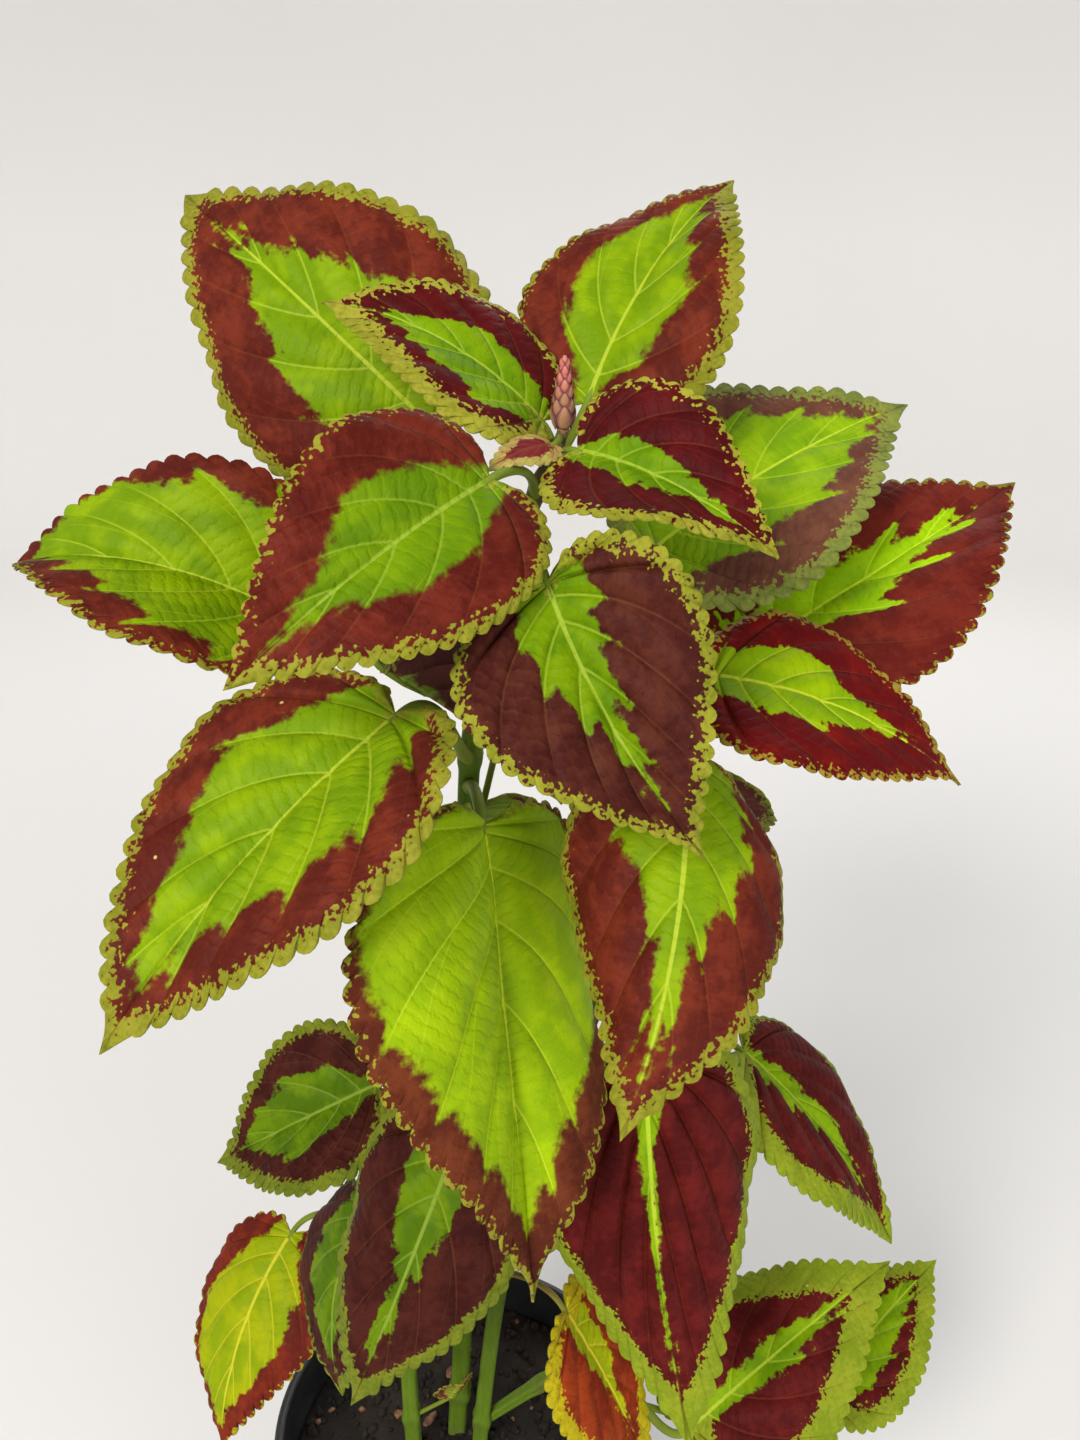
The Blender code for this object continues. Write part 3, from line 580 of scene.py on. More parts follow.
# The scallops run between these shares of the margin, this deep as a share of one's length.
# There are half as many again as teeth on the solids, with a row of points at each step.
TOOTH_START = 0.05
TOOTH_END = 0.94
TOOTH_DEPTH = 0.21
FINER_TEETH = 1.5
TOOTH_STEPS = (0.0, 0.09, 0.26, 0.5, 0.74, 0.91)
# Where the columns of points lie between the midrib and the margin
ACROSS = (0.0, 0.015, 0.04, 0.075, 0.12, 0.18, 0.25, 0.33, 0.42, 0.51, 0.60, 0.68, 0.75, 0.81,
          0.86, 0.905, 0.94, 0.97, 1.0)

# A side vein that ends this far along the blade, measured on the margin, leaves the midrib there
VEIN_ENDS = (-0.06, 0.10, 0.25, 0.42, 0.56, 0.69, 0.80, 0.88, 0.95, 1.0)
VEIN_FEET = (0.0, 0.0, 0.02, 0.07, 0.14, 0.25, 0.42, 0.60, 0.82, 1.0)
# Shares of the margin's run where the side veins end
VEINS_AT = (-0.08, 0.06, 0.20, 0.37, 0.55, 0.69, 0.81, 0.90, 1.02)
# Leaves whose side veins run more along the midrib, by the power that their feet are raised to
ARCHED = {"leaf_long_low": 2.4, "leaf_centre_dark": 1.3, "leaf_right_mid": 1.4}
TINY = 1e-9

# Relief of a blade of the full length: the quilts, the grooves over the veins, the midrib on top
# and below, the side veins below, the scallops, and the margin's waves (number and height)
FULL_LENGTH = 0.09
BLADE_THICKNESS = 0.00045
QUILT_RISE = 0.0011
GROOVE_DEPTH = 0.00020
GROOVE_WIDTH = 0.0006
MIDRIB_WIDTH = 0.0011
MIDRIB_RISE = 0.00022
MIDRIB_BELOW = 0.00085
VEIN_BELOW = 0.00028
VEIN_WIDTH = 0.0005
SCALLOP_RISE = 0.00016
MARGIN_DROP = 0.0006
MARGIN_WAVES = ((1.6, 0.0011), (3.7, 0.0006))
DRIFT = 0.00012
BLADE_CREASE = 60

PETIOLE_RADIUS = 0.0011
PETIOLE_SIDES = 12
PETIOLE_STEPS = 24
RIB_STEPS = 12
RIB_SHARE = 0.20
RIB_SINK = 0.0006
PALE_FLUSH = 0.08
FLUSHED = {"leaf_right_front": 0.85, "leaf_ageing_centre": 0.4, "leaf_far_right": 0.3}
SPOTTED = ("leaf_centre_front", "leaf_middle_left", "leaf_bottom_right")

# How far along the blade the lime's reach is given
LIME_AT = (0.05, 0.20, 0.35, 0.50, 0.65, 0.80, 0.92)

# Two lines a leaf. The first has its name, the height on the stem where the petiole starts, the
# blade's base, tip and width in centimetres, its roll, bend, fold and curl in degrees, its sweep
# to the side as a share, its twist in degrees, its teeth a side on the solid, and its stem.
# The second has the lime's reach at the seven places, in hundredths of the half width, on one
# side and on the other, the olive edge's width on each side in mm, how strong the quilting is,
# how far the lime's spikes run, and the tone.
LEAVES = np.array("""
top_left         39.3    0  2.6 41.8  -7.1  7.4 47.6 7.7  60 46  10 44 -0.02   4 15 stem_main
  45 50 45 30 14 4 0  50 70 44 32 10 3 0  3 3 1 1 ripe
top_right        40.8  3.8  2.1 42.5   7.7  5.8 47.8 5.6 -21 39  15 31  0.08 -11 14 stem_main
  20 46 52 62 50 24 4  12 40 48 48 22 10 0  0.9 2.8 0.8 0.5 ripe
young_left       41.6  2.7  0.6 42.2  -2.4  1.3 44.8 4.3  35 47  13 19 -0.07 -21 14 stem_main
  45 58 52 42 18 4 0  30 36 40 30 18 4 0  3.6 1.4 0.8 0.5 young
bract            41.8  2.9 -0.8 41.8   1.5 -2.1 41.4   1  30 34   9 29 -0.02   0  6 stem_main
  -90 -90 -90 -90 -90 -90 -90  -90 -90 -90 -90 -90 -90 -90  1.3 1.3 0.2 0.2 bract
heart_left       40.6  1.6 -2.6 41.3  -3.3 -6.3 37.9   5  57 40  17 27 -0.06  -8 15 stem_main
  30 42 46 43 17 2 0  20 40 56 45 20 2 0  1.5 0.7 1 0.25 heart
far_left         36.7 -3.9  2.2   37 -11.5  3.2 38.1 6.3  38 77  31 16     0  17 15 stem_main
  88 84 74 60 46 26 5  74 76 77 80 92 90 50  0.8 -1 1 1.2 ripe
heart_right      41.4  3.5   -1 41.7   7.5 -3.8 39.9 3.9 -34 40  21  9  0.02 -33 14 stem_main
  14 30 30 24 12 2 0  26 26 32 26 15 3 0  0.9 1.5 1 0.3 young
right_back       36.5  5.5  1.8 38.9  12.8  5.5 42.2 6.7 -36 18   9  4  0.09  -4 15 stem_main
  50 60 62 58 45 20 5  50 54 52 56 46 24 2  2.6 2.8 0.8 0.8 dusk
far_right        36.3  8.3  2.8 35.9  16.3    6   40 6.9 -31 29  17 16 -0.15  -2 15 stem_right
  40 28 28 22 16 8 0  24 22 36 16 12 4 0  0.9 0.6 0.8 1.5 rust
right_front      34.8  6.8 -0.8 36.4  12.8 -1.6 33.9 4.9 -28 40   5  2  0.08  -3 14 stem_right
  44 54 48 26 9 2 0  34 40 40 30 8 2 0  1.1 0.8 1.2 0.6 glow
centre_dark      39.2  2.8 -3.5 39.3     6   -6 34.2 5.5 -34  8  16  2 -0.22 -40 15 stem_main
  42 26 20 13 8 2 0  42 34 27 15 5 2 0  1.6 1.2 1.7 0.7 dark
middle_left        34 -0.5 -3.3 36.3  -6.2 -7.5 30.6 6.8  20 25  15 13 -0.04 -21 15 stem_main
  50 60 58 48 26 10 0  50 60 64 50 46 32 4  2 1.6 1.4 0.6 ripe
edge_on          36.4 -0.8 -2.7 37.2   3.2 -2.4 33.8 3.8  45 20  40  6     0   0 12 stem_main
  0 2 5 4 2 0 0  0 2 4 4 2 0 0  1.8 1.8 1 0.4 dark
centre_front     33.2  1.3 -2.2 33.1   2.5 -7.1 23.5 9.3  38 -6  31 76  0.07  11 16 stem_main
  80 95 90 76 48 20 3  95 100 88 76 64 42 4  0.9 0.7 1 0.9 broad
lower_right      34.4  5.9 -3.1 35.2   4.3 -7.7 28.6 6.2   9 37 -11 44  0.21  32 15 stem_right
  54 54 36 17 7 2 0  60 56 32 17 8 2 0  1.5 1.9 1 0.9 ripe
long_low           25  5.4 -2.2 26.4   6.6 -5.6 16.7 7.3 -19  2 -10 45  -0.1   1 16 stem_right
  18 5 2 1 1 0 0  14 6 5 4 3 1 0  4.6 5.2 1.4 0.15 low
right_mid        24.2  8.8  1.6 23.7  13.5  0.1 17.7 5.7  -7 22  22 46  0.09  10 15 stem_right
  10 12 18 18 6 2 0  24 26 17 9 5 2 0  1.8 5.2 1 0.7 low
bottom_right     13.2  7.4   -1 11.1  14.3  1.9 15.1   6 -23 28   6 37     0  -1 15 shoot_low_right
  8 8 16 14 8 3 0  12 10 18 18 13 4 0  8.5 8 1 0.5 low
bottom_far_right 12.3 12.4  1.5  9.5  17.5  5.4 11.4 4.5 -20 24   6 30  0.04   0 13 shoot_low_right
  50 50 46 40 26 12 0  40 42 42 36 22 10 0  4 5.6 0.8 0.5 low
low_left_small   22.5 -2.1  0.5 23.4  -7.3    1   20   5  40 16  21  2  0.03  12 13 stem_left
  16 32 42 52 34 6 0  20 40 52 54 46 10 0  2.4 1.9 1 0.5 shade
low_left_dark    22.2  0.6 -2.7 24.6  -2.4 -4.9 17.3 5.7  36 41   1 59  0.09   8 15 stem_left
  30 26 15 8 4 2 0  50 34 25 12 11 3 0  3.6 3.2 1.3 0.6 shade
low_left_narrow  18.6 -2.2 -1.7 21.2  -2.9 -3.6   16 5.2 -23 50   3 35 -0.13 -22 13 stem_left
  40 30 20 15 12 5 0  40 45 48 45 36 8 0  1.7 1 1 0.6 shade
ageing_left      18.2 -5.2  0.8 17.4  -7.1 -2.2 11.9 4.8   5 42   1 30 -0.15  -1 12 stem_left
  30 50 62 60 50 20 5  40 60 72 84 84 60 20  0.6 0.6 0.9 0.6 ageing
ageing_centre      17  3.4 -2.3 17.7   5.9 -2.9 12.2 4.5 -12 18  12 31 -0.07   9 12 stem_right
  35 28 22 13 8 5 0  20 20 14 10 8 5 0  4.5 3 0.9 0.5 autumn
tiny             11.3 -0.1 -0.9 12.5   0.3 -1.6 13.9 1.3   0 30  20 10     0   0  6 stem_left
  30 40 50 60 60 40 10  30 40 50 60 60 40 10  0.8 0.8 0.2 0.1 ageing
back_upper       31.6  2.5  2.6 34.9   5.8    6 31.9 4.2  -5 40  12 25     0   0 12 stem_main
  40 50 45 34 18 6 0  40 50 45 34 18 6 0  1.9 1.9 1 0.8 ripe
back_middle      31.2  0.9  2.9 31.2   1.5  7.2 23.7 4.8  10 40  10 35  0.03   5 13 stem_main
  50 60 55 38 26 10 0  50 60 55 42 25 8 0  1.7 1.7 1.3 0.9 ripe
back_right       32.6  6.9  3.2 32.2   7.2  7.2 25.7 5.5 -10 40  12 30     0  -5 13 stem_right
  40 45 40 28 18 7 0  35 45 42 26 16 7 0  2.1 2.1 1.1 0.8 ripe
back_low         24.6  2.7    3 23.2   0.8  6.8   18 4.3  10 35  12 25     0   0 12 stem_right
  30 30 25 18 10 4 0  30 32 26 16 10 4 0  2.6 2.6 1.1 0.7 shade
low_left_back    18.4 -1.6  1.6 18.8  -2.6    5 13.8   4   0 35  12 25     0   0 12 stem_left
  30 35 30 24 13 5 0  30 35 32 20 12 4 0  2.8 2.8 1 0.7 low
back_left          28 -2.3    2 29.7  -5.8    5 27.9 3.6   5 35  12 20     0   0 12 stem_main
  40 45 40 33 18 7 0  40 45 42 32 18 7 0  2 2 0.9 0.8 ripe
""".split()).reshape(-1, 36)

# A tone a line: two shades of lime, two of red and two of olive, each as thousandths of red,
# green and blue, then how soft the lime's edge is, how far its spikes run along the veins and
# how broken the olive edge is, in mm. The shade tone is painted shade: the colours darkened for
# the low leaves that lie in the shadow of the upper ones.
TONES = """
ripe   206 318 1  131 232 1  140 19 7  76 8 4  242 232 20  165 172 10  1.2 3.6 8.5
heart  138 240 1  90 180 1  122 14 6  70 6 3  242 232 20  165 172 10  1.1 3.6 7.5
broad  290 430 1  205 335 1  128 27 8  72 12 4  242 232 20  165 172 10  1.8 3.6 7
rust   290 500 1  210 400 1  150 16 8  98 8 5  235 215 20  160 135 10  0.9 3.6 6
young  155 270 1  98 200 1  78 2 3  48 1 2  290 280 28  205 205 14  0.3 1.5 9
dusk   235 380 4  150 290 3  150 55 30  100 34 22  205 235 40  140 170 32  1.3 3 8
dark   150 250 1  82 170 1  78 17 9  42 6 4  250 250 20  165 175 11  0.7 2.8 8.5
glow   250 370 1  165 290 1  135 3 2  85 1 2  290 215 22  210 160 15  0.35 1.8 7
low    205 335 1  120 235 1  100 6 5  56 2 2  228 272 14  165 222 9  0.5 2.2 7
shade  108 188 1  60 122 1  52 9 5  29 3 2  155 178 12  102 135 8  0.5 2.6 5
ageing 290 330 1  195 270 1  170 17 5  90 9 4  280 250 11  220 185 8  0.7 2.5 4.5
autumn 380 410 1  265 320 1  290 36 5  170 15 3  420 350 6  320 255 6  0.4 1.5 5
bract  230 350 35  150 270 25  165 10 14  105 6 10  370 330 75  350 215 65  0.4 0.5 2
"""
TONES = {words[0]: np.array(words[1:], float)
         for words in map(str.split, TONES.strip().splitlines())}


class Leaf:
    """One leaf's numbers from the table, with lengths in metres and angles in radians."""

    def __init__(self, words):
        self.node, self.stem, self.tone = "leaf_" + words[0], str(words[16]), str(words[35])
        place, marks = words[1:16].astype(float), words[17:35].astype(float)
        self.height, self.base, self.tip = place[0] * CM, place[1:4] * CM, place[4:7] * CM
        self.length = np.linalg.norm(self.tip - self.base)
        self.half = place[7] * CM / 2
        self.roll, self.bend, self.fold, self.curl = np.radians(place[8:12])
        self.sweep, self.twist = place[12], math.radians(place[13])
        self.teeth = round(FINER_TEETH * place[14])
        self.lime, self.olive = marks[:14].reshape(2, 7) / 100, marks[14:16]
        self.quilting, self.reach = marks[16:]
        self.arch = ARCHED.get(self.node, 1.0)
        self.flush = FLUSHED.get(self.node, PALE_FLUSH)


def between(at, keys, columns):
    """Each column of numbers, read on straight lines between the keys."""
    return np.stack([np.interp(at, keys, column) for column in columns.T], axis=-1)


def half_margin(leaf, count):
    """Evenly spaced points of half the blade's margin without teeth, flat, with the direction
    out and the margin's whole length."""
    fine = smooth_path(np.array(LEAF_HALF) * (leaf.length, leaf.half), 0.02 * leaf.length)
    run = np.concatenate([[0], np.cumsum(np.linalg.norm(np.diff(fine, axis=0), axis=1))])
    line = between(np.linspace(0, 1, count) * run[-1], run, fine)
    ahead = unit(np.gradient(line, axis=0))
    return line, np.stack([-ahead[:, 1], ahead[:, 0]], axis=1), run[-1]


def along_shares(teeth):
    """Shares of the margin's run for the grid's rows: six a tooth, and a few before and after."""
    pitch = (TOOTH_END - TOOTH_START) / teeth
    rows = TOOTH_START + pitch * (np.arange(teeth)[:, None] + np.array(TOOTH_STEPS)).ravel()
    return np.concatenate([(0.0, 0.012, 0.025, 0.038), rows, (TOOTH_END, 0.955, 0.97, 0.985, 1.0)])


def tooth_wave(share, teeth):
    """The margin's scallops, 1 on a crest and -1 in a notch: 2 |sin| ^ 0.62 - 1 over each tooth,
    so that crests are round and notches narrow, and 0 before the first tooth and after the last."""
    phase = (share - TOOTH_START) / (TOOTH_END - TOOTH_START) * teeth
    wave = 2 * np.abs(np.sin(np.pi * phase)) ** 0.62 - 1
    ends = ramp(phase, 0, 0.5) * ramp(phase, teeth, teeth - 0.5)
    wave = np.where(wave > 0, wave, wave * ends)
    return np.where((phase <= 0) | (phase >= teeth), 0.0, wave)


def flat_blade(leaf):
    """The flat grid of half a blade, rows along the margin and columns from the midrib outwards.
    Each row is a vein line, the quadratic curve (1-v)^2 foot + 2v(1-v) bend + v^2 end, which
    leaves the midrib steeply and turns towards the tip. The arch draws the feet of the veins
    towards the blade's base. Each point also gets its distance inside the toothed edge, the
    scallops' wave on the margin that it faces, and the place along its vein, counted so that
    equal places lie square to the veins. The grid's rows come last."""
    length, teeth = leaf.length, leaf.teeth
    line, outward, run = half_margin(leaf, MARGIN_POINTS)
    grid = np.linspace(0, 1, MARGIN_POINTS)
    rows = along_shares(teeth)
    end, out = between(rows, grid, line), between(rows, grid, outward)
    reach = end[:, 0] / length
    foot = np.interp(reach, VEIN_ENDS, np.array(VEIN_FEET) ** leaf.arch) * length
    foot = np.where(rows < 0.02, 0.0, foot)
    foot = np.stack([foot, 0 * foot], axis=1)
    lean = np.interp(reach, (0.05, 0.30, 0.95, 1.0), (0.5, 0.28, 0.30, 0.5))
    rise = np.interp(reach, (0.05, 0.30, 0.90, 1.0), (0.5, 0.72, 0.62, 0.5))
    bend = np.stack([foot[:, 0] + lean * (end[:, 0] - foot[:, 0]), rise * end[:, 1]], axis=1)
    v = np.array(ACROSS)[None, :, None]
    flat = (1 - v) ** 2 * foot[:, None] + 2 * v * (1 - v) * bend[:, None] + v**2 * end[:, None]
    outer = ramp(v, 0.84, 1.0)
    depth = TOOTH_DEPTH * run * (TOOTH_END - TOOTH_START) / teeth
    pushed = out * (depth * tooth_wave(rows, teeth))[:, None]
    flat = flat + pushed[:, None] * outer**2 * (3 - 2 * outer)
    edge = line + outward * (depth * tooth_wave(grid, teeth))[:, None]
    inset = np.min(np.linalg.norm(flat[:, :, None] - edge, axis=-1), axis=-1)
    facing = grid[np.argmin(np.linalg.norm(flat[:, :, None] - line, axis=-1), axis=-1)]
    steps = np.linalg.norm(np.diff(flat, axis=1), axis=-1)
    walked = np.pad(np.cumsum(steps, axis=1), ((0, 0), (1, 0)))
    lengthwise = (end - foot)[:, 0] / (np.linalg.norm(end - foot, axis=1) + TINY)
    rungs = walked + (foot[:, 0] * lengthwise)[:, None]
    return flat, inset, tooth_wave(facing, teeth), rungs, rows


def blade_points(flat, leaf):
    """Where flat points of a blade lie in space: the flat x runs along an arc from base to tip,
    the flat y runs across it, folded up at the midrib and curled down towards the margin, and
    the section turns and sways a little along the length."""
    along = unit(leaf.tip - leaf.base)
    up = unit(np.array([0.0, 0.0, 1.0]) - along * along[2])
    normal = up * math.cos(leaf.roll) + np.cross(up, along) * math.sin(leaf.roll)
    side = np.cross(normal, along)
    bend, fold, rate = leaf.bend, leaf.fold, leaf.curl / leaf.half
    share = flat[..., 0] / leaf.length
    reach = leaf.length * (bend / 2) / math.sin(bend / 2)
    angle = bend * (0.5 - share)
    x = reach * (math.sin(bend / 2) - np.sin(angle)) / bend
    z = reach * (np.cos(angle) - math.cos(bend / 2)) / bend
    curled = fold - rate * np.abs(flat[..., 1])
    across = (math.sin(fold) - np.sin(curled)) / rate * np.sign(flat[..., 1])
    lift = (np.cos(curled) - math.cos(fold)) / rate
    y, lift = swung(across, lift, leaf.twist * (share - 0.5))
    y = y + leaf.sweep * leaf.length * share * (1 - share)
    x = x - np.sin(angle) * lift
    z = z + np.cos(angle) * lift
    return leaf.base + x[..., None] * along + y[..., None] * side + z[..., None] * normal


def blade_normals(flat, leaf):
    """The direction square to the sheet: its slope along x crossed with its slope along y, each
    taken over a tenth of a millimetre on either side."""
    dx, dy = (
        blade_points(flat + step, leaf) - blade_points(flat - step, leaf)
        for step in np.eye(2) * 1e-4
    )
    return unit(np.cross(dx, dy))


def blade_mesh(leaf, seed):
    """Points, triangles and layers of one blade. The top is the curved sheet, raised in quilts
    between the side veins (sine to the power 0.7 across each bay), sunk along the veins by bell
    curves and waved at the margin. The underside is the same sheet one thickness lower, with the
    veins standing out. Layers: 'flat' is x and y in cm and share of the length, 'vein' is the
    bay number, share of the way to the margin and bay width in mm, 'zone' is how many mm a
    point lies inside the lime and inside the olive edge, and 1 on the underside, and 'rung' is
    the place along the veins in mm."""
    flat, inset, scallops, rungs, rows = flat_blade(leaf)
    out = np.array(ACROSS) + 0 * inset
    number = np.interp(rows, VEINS_AT, np.arange(len(VEINS_AT)))[:, None] + 0 * inset
    down, across = np.gradient(flat, axis=0), np.gradient(flat, axis=1)
    area = np.abs(down[..., 0] * across[..., 1] - down[..., 1] * across[..., 0])
    bay = area / (np.linalg.norm(across, axis=-1) + TINY) / (np.gradient(number, axis=0) + TINY)
    share = flat[..., 0] / leaf.length
    line, _, _ = half_margin(leaf, BREADTH_POINTS)
    front = line[np.argmin(line[:, 0]):]
    breadth = np.interp(flat[..., 0], front[:, 0], front[:, 1])

    def joined(left, right):
        """Both halves as one grid from margin to margin, with the midrib's column shared."""
        middle = (left[:, :1] + right[:, :1]) / 2
        return np.concatenate([right[:, :0:-1], middle, left[:, 1:]], axis=1)

    def lime_depth(reach):
        """How far inside the lime's reach, which ends before the tip."""
        inside = np.interp(share, LIME_AT, reach) * breadth - flat[..., 1]
        return inside * 1000 - 4 * ramp(share, 0.86, 0.98)

    def rim_depth(width):
        """The olive is wider near the tip and on each scallop, and the red runs into the notches.
        A rim under 1.5 mm is held back, so that only flecks of it are left."""
        full = ramp(width, 0, 1.5)
        wide = width * (1 + 0.9 * ramp(share, 0.80, 1.0))
        scallop = (1.4 * scallops - 0.3) * np.exp(-inset / 0.0016) * full
        return wide + 0.4 - 1.3 * (1 - full) + scallop - inset * 1000

    lime = joined(*(lime_depth(reach) for reach in leaf.lime))
    rim = joined(*(rim_depth(width) for width in leaf.olive))
    scallop = scallops * np.exp(-inset / 0.0012)
    flat = joined(flat, flat * (1, -1))
    number, bay, out, share, rungs, scallop = (
        joined(half, half) for half in (number, bay, out, share, rungs, scallop)
    )

    starts = np.random.default_rng(seed).uniform(0, 2 * math.pi, 3)
    frac = number - np.floor(number)
    away = np.minimum(frac, 1 - frac) * bay
    big = leaf.length / FULL_LENGTH
    inner = ramp(out, 0, 0.22) * ramp(out, 1.02, 0.82) * ramp(share, 1.05, 0.55)
    bulge = np.sin(np.pi * frac) ** 0.7 * inner * QUILT_RISE * leaf.quilting * big
    groove = GROOVE_DEPTH * leaf.quilting * bell(away, GROOVE_WIDTH) * ramp(out, 1.02, 0.52)
    mid = bell(flat[..., 1], MIDRIB_WIDTH * big) * ramp(share, 1.15, 0.15)
    waves = sum(
        np.sin(2 * math.pi * count * share + starts[i] + (i + 1) * np.sign(flat[..., 1])) * rise
        for i, (count, rise) in enumerate(MARGIN_WAVES)
    )
    drop = ramp(out, 0.90, 1.0) ** 2 * (1 + 0.8 * np.sin(9.0 * share + starts[2]))
    drift = soft_waves(flat[..., 0], flat[..., 1] + 0.1 * seed, 100 + seed, 10, 420.0)
    ends = (ramp(rows, 0, 0.05) * ramp(rows, 1, 0.96))[:, None]
    margin = waves * out**3 + SCALLOP_RISE * scallop - MARGIN_DROP * drop
    raised = (bulge - groove + margin * big) * ends
    raised = raised + MIDRIB_RISE * mid * ramp(share, 0, 0.08) + drift * DRIFT * big

    normal = blade_normals(flat, leaf)
    top = blade_points(flat, leaf) + normal * raised[..., None]
    ridge = MIDRIB_BELOW * big * mid + VEIN_BELOW * bell(away, VEIN_WIDTH) * ramp(out, 1.1, 0.1)
    thin = BLADE_THICKNESS * (1 - 0.35 * out**6)
    under = top - normal * (thin + ridge)[..., None]

    count, columns = out.size, out.shape[1]
    face = grid_triangles(len(rows), columns, False)
    i = np.arange(len(rows) - 1) * columns
    edges = []
    for near, far in ((i, i + columns), (i + 2 * columns - 1, i + columns - 1)):
        edges.append(np.stack([near, near + count, far + count], 1))
        edges.append(np.stack([near, far + count, far], 1))
    triangles = np.concatenate([face, face[:, ::-1] + count, *edges])
    points = np.concatenate([top.reshape(-1, 3), under.reshape(-1, 3)])
    layers = {
        "flat": (flat[..., 0] * 100, flat[..., 1] * 100, share),
        "vein": (number, out, bay * 1000),
        "zone": (lime, rim, 0 * rim),
        "rung": (rungs * 1000, 0 * rim, 0 * rim),
    }
    layers = {k: np.tile(np.stack(a, axis=-1).reshape(-1, 3), (2, 1)) for k, a in layers.items()}
    layers["zone"][count:, 2] = 1
    return points, triangles, layers


def petiole_tube(leaf):
    """The petiole leaves its stem steeply, bends over in a cubic curve to the blade's base and
    runs on as the rib under the blade, thinner and thinner. It is a flattened round tube. Each
    point also gets its way: 0 to 1 along the petiole, and 1 to 2 along the rib."""
    stem, widths, _ = stem_line(leaf.stem)
    middle = between(leaf.height, stem[:, 2], stem)
    ahead = unit(between(leaf.height, stem[:, 2], np.gradient(stem, axis=0)))
    width = np.interp(leaf.height, stem[:, 2], widths)
    way = np.linspace(0, 1, RIB_STEPS)
    flat = np.stack([way * RIB_SHARE * leaf.length, 0 * way], axis=1)
    radii = np.interp(way, (0, 0.4, 1), (1.05, 0.85, 0.4)) * PETIOLE_RADIUS
    radii = radii * np.clip(leaf.length / 0.08, 0.55, 1.15)
    deep = ramp(way, 0, 0.55)
    sink = deep * (RIB_SINK + radii) + (1 - deep) * 0.55 * radii
    rib = blade_points(flat, leaf) - blade_normals(flat, leaf) * sink[:, None]
    out = leaf.base - middle
    out = unit(out - ahead * (out @ ahead))
    start = middle + out * 0.22 * width
    handle = 0.33 * np.linalg.norm(rib[0] - start)
    leave = start + (out * 0.7 + ahead * 0.55) * handle
    arrive = rib[0] - unit(rib[1] - rib[0]) * handle
    t = np.linspace(0, 1, PETIOLE_STEPS + 1)[:-1, None]
    curve = (1 - t) ** 3 * start + 3 * t * (1 - t) ** 2 * leave
    curve = curve + 3 * t**2 * (1 - t) * arrive + t**3 * rib[0]
    thick = radii[0] * (1.15 + 0.8 * np.exp(-t[:, 0] / 0.10) - 0.15 * t[:, 0] ** 4)
    path = np.concatenate([curve, rib])
    turn = round_turns(PETIOLE_SIDES)
    outline = np.stack([np.cos(turn), np.sin(turn) * 0.86], axis=1)
    side = np.cross(blade_normals(flat[:1], leaf)[0], path[-1] - path[0])
    points, triangles = carried(path, outline, np.concatenate([thick, radii]), side)
    way = np.concatenate([[0], np.linspace(0, 1, PETIOLE_STEPS), 1 + way, [2]])
    return points, triangles, np.repeat(way, PETIOLE_SIDES)


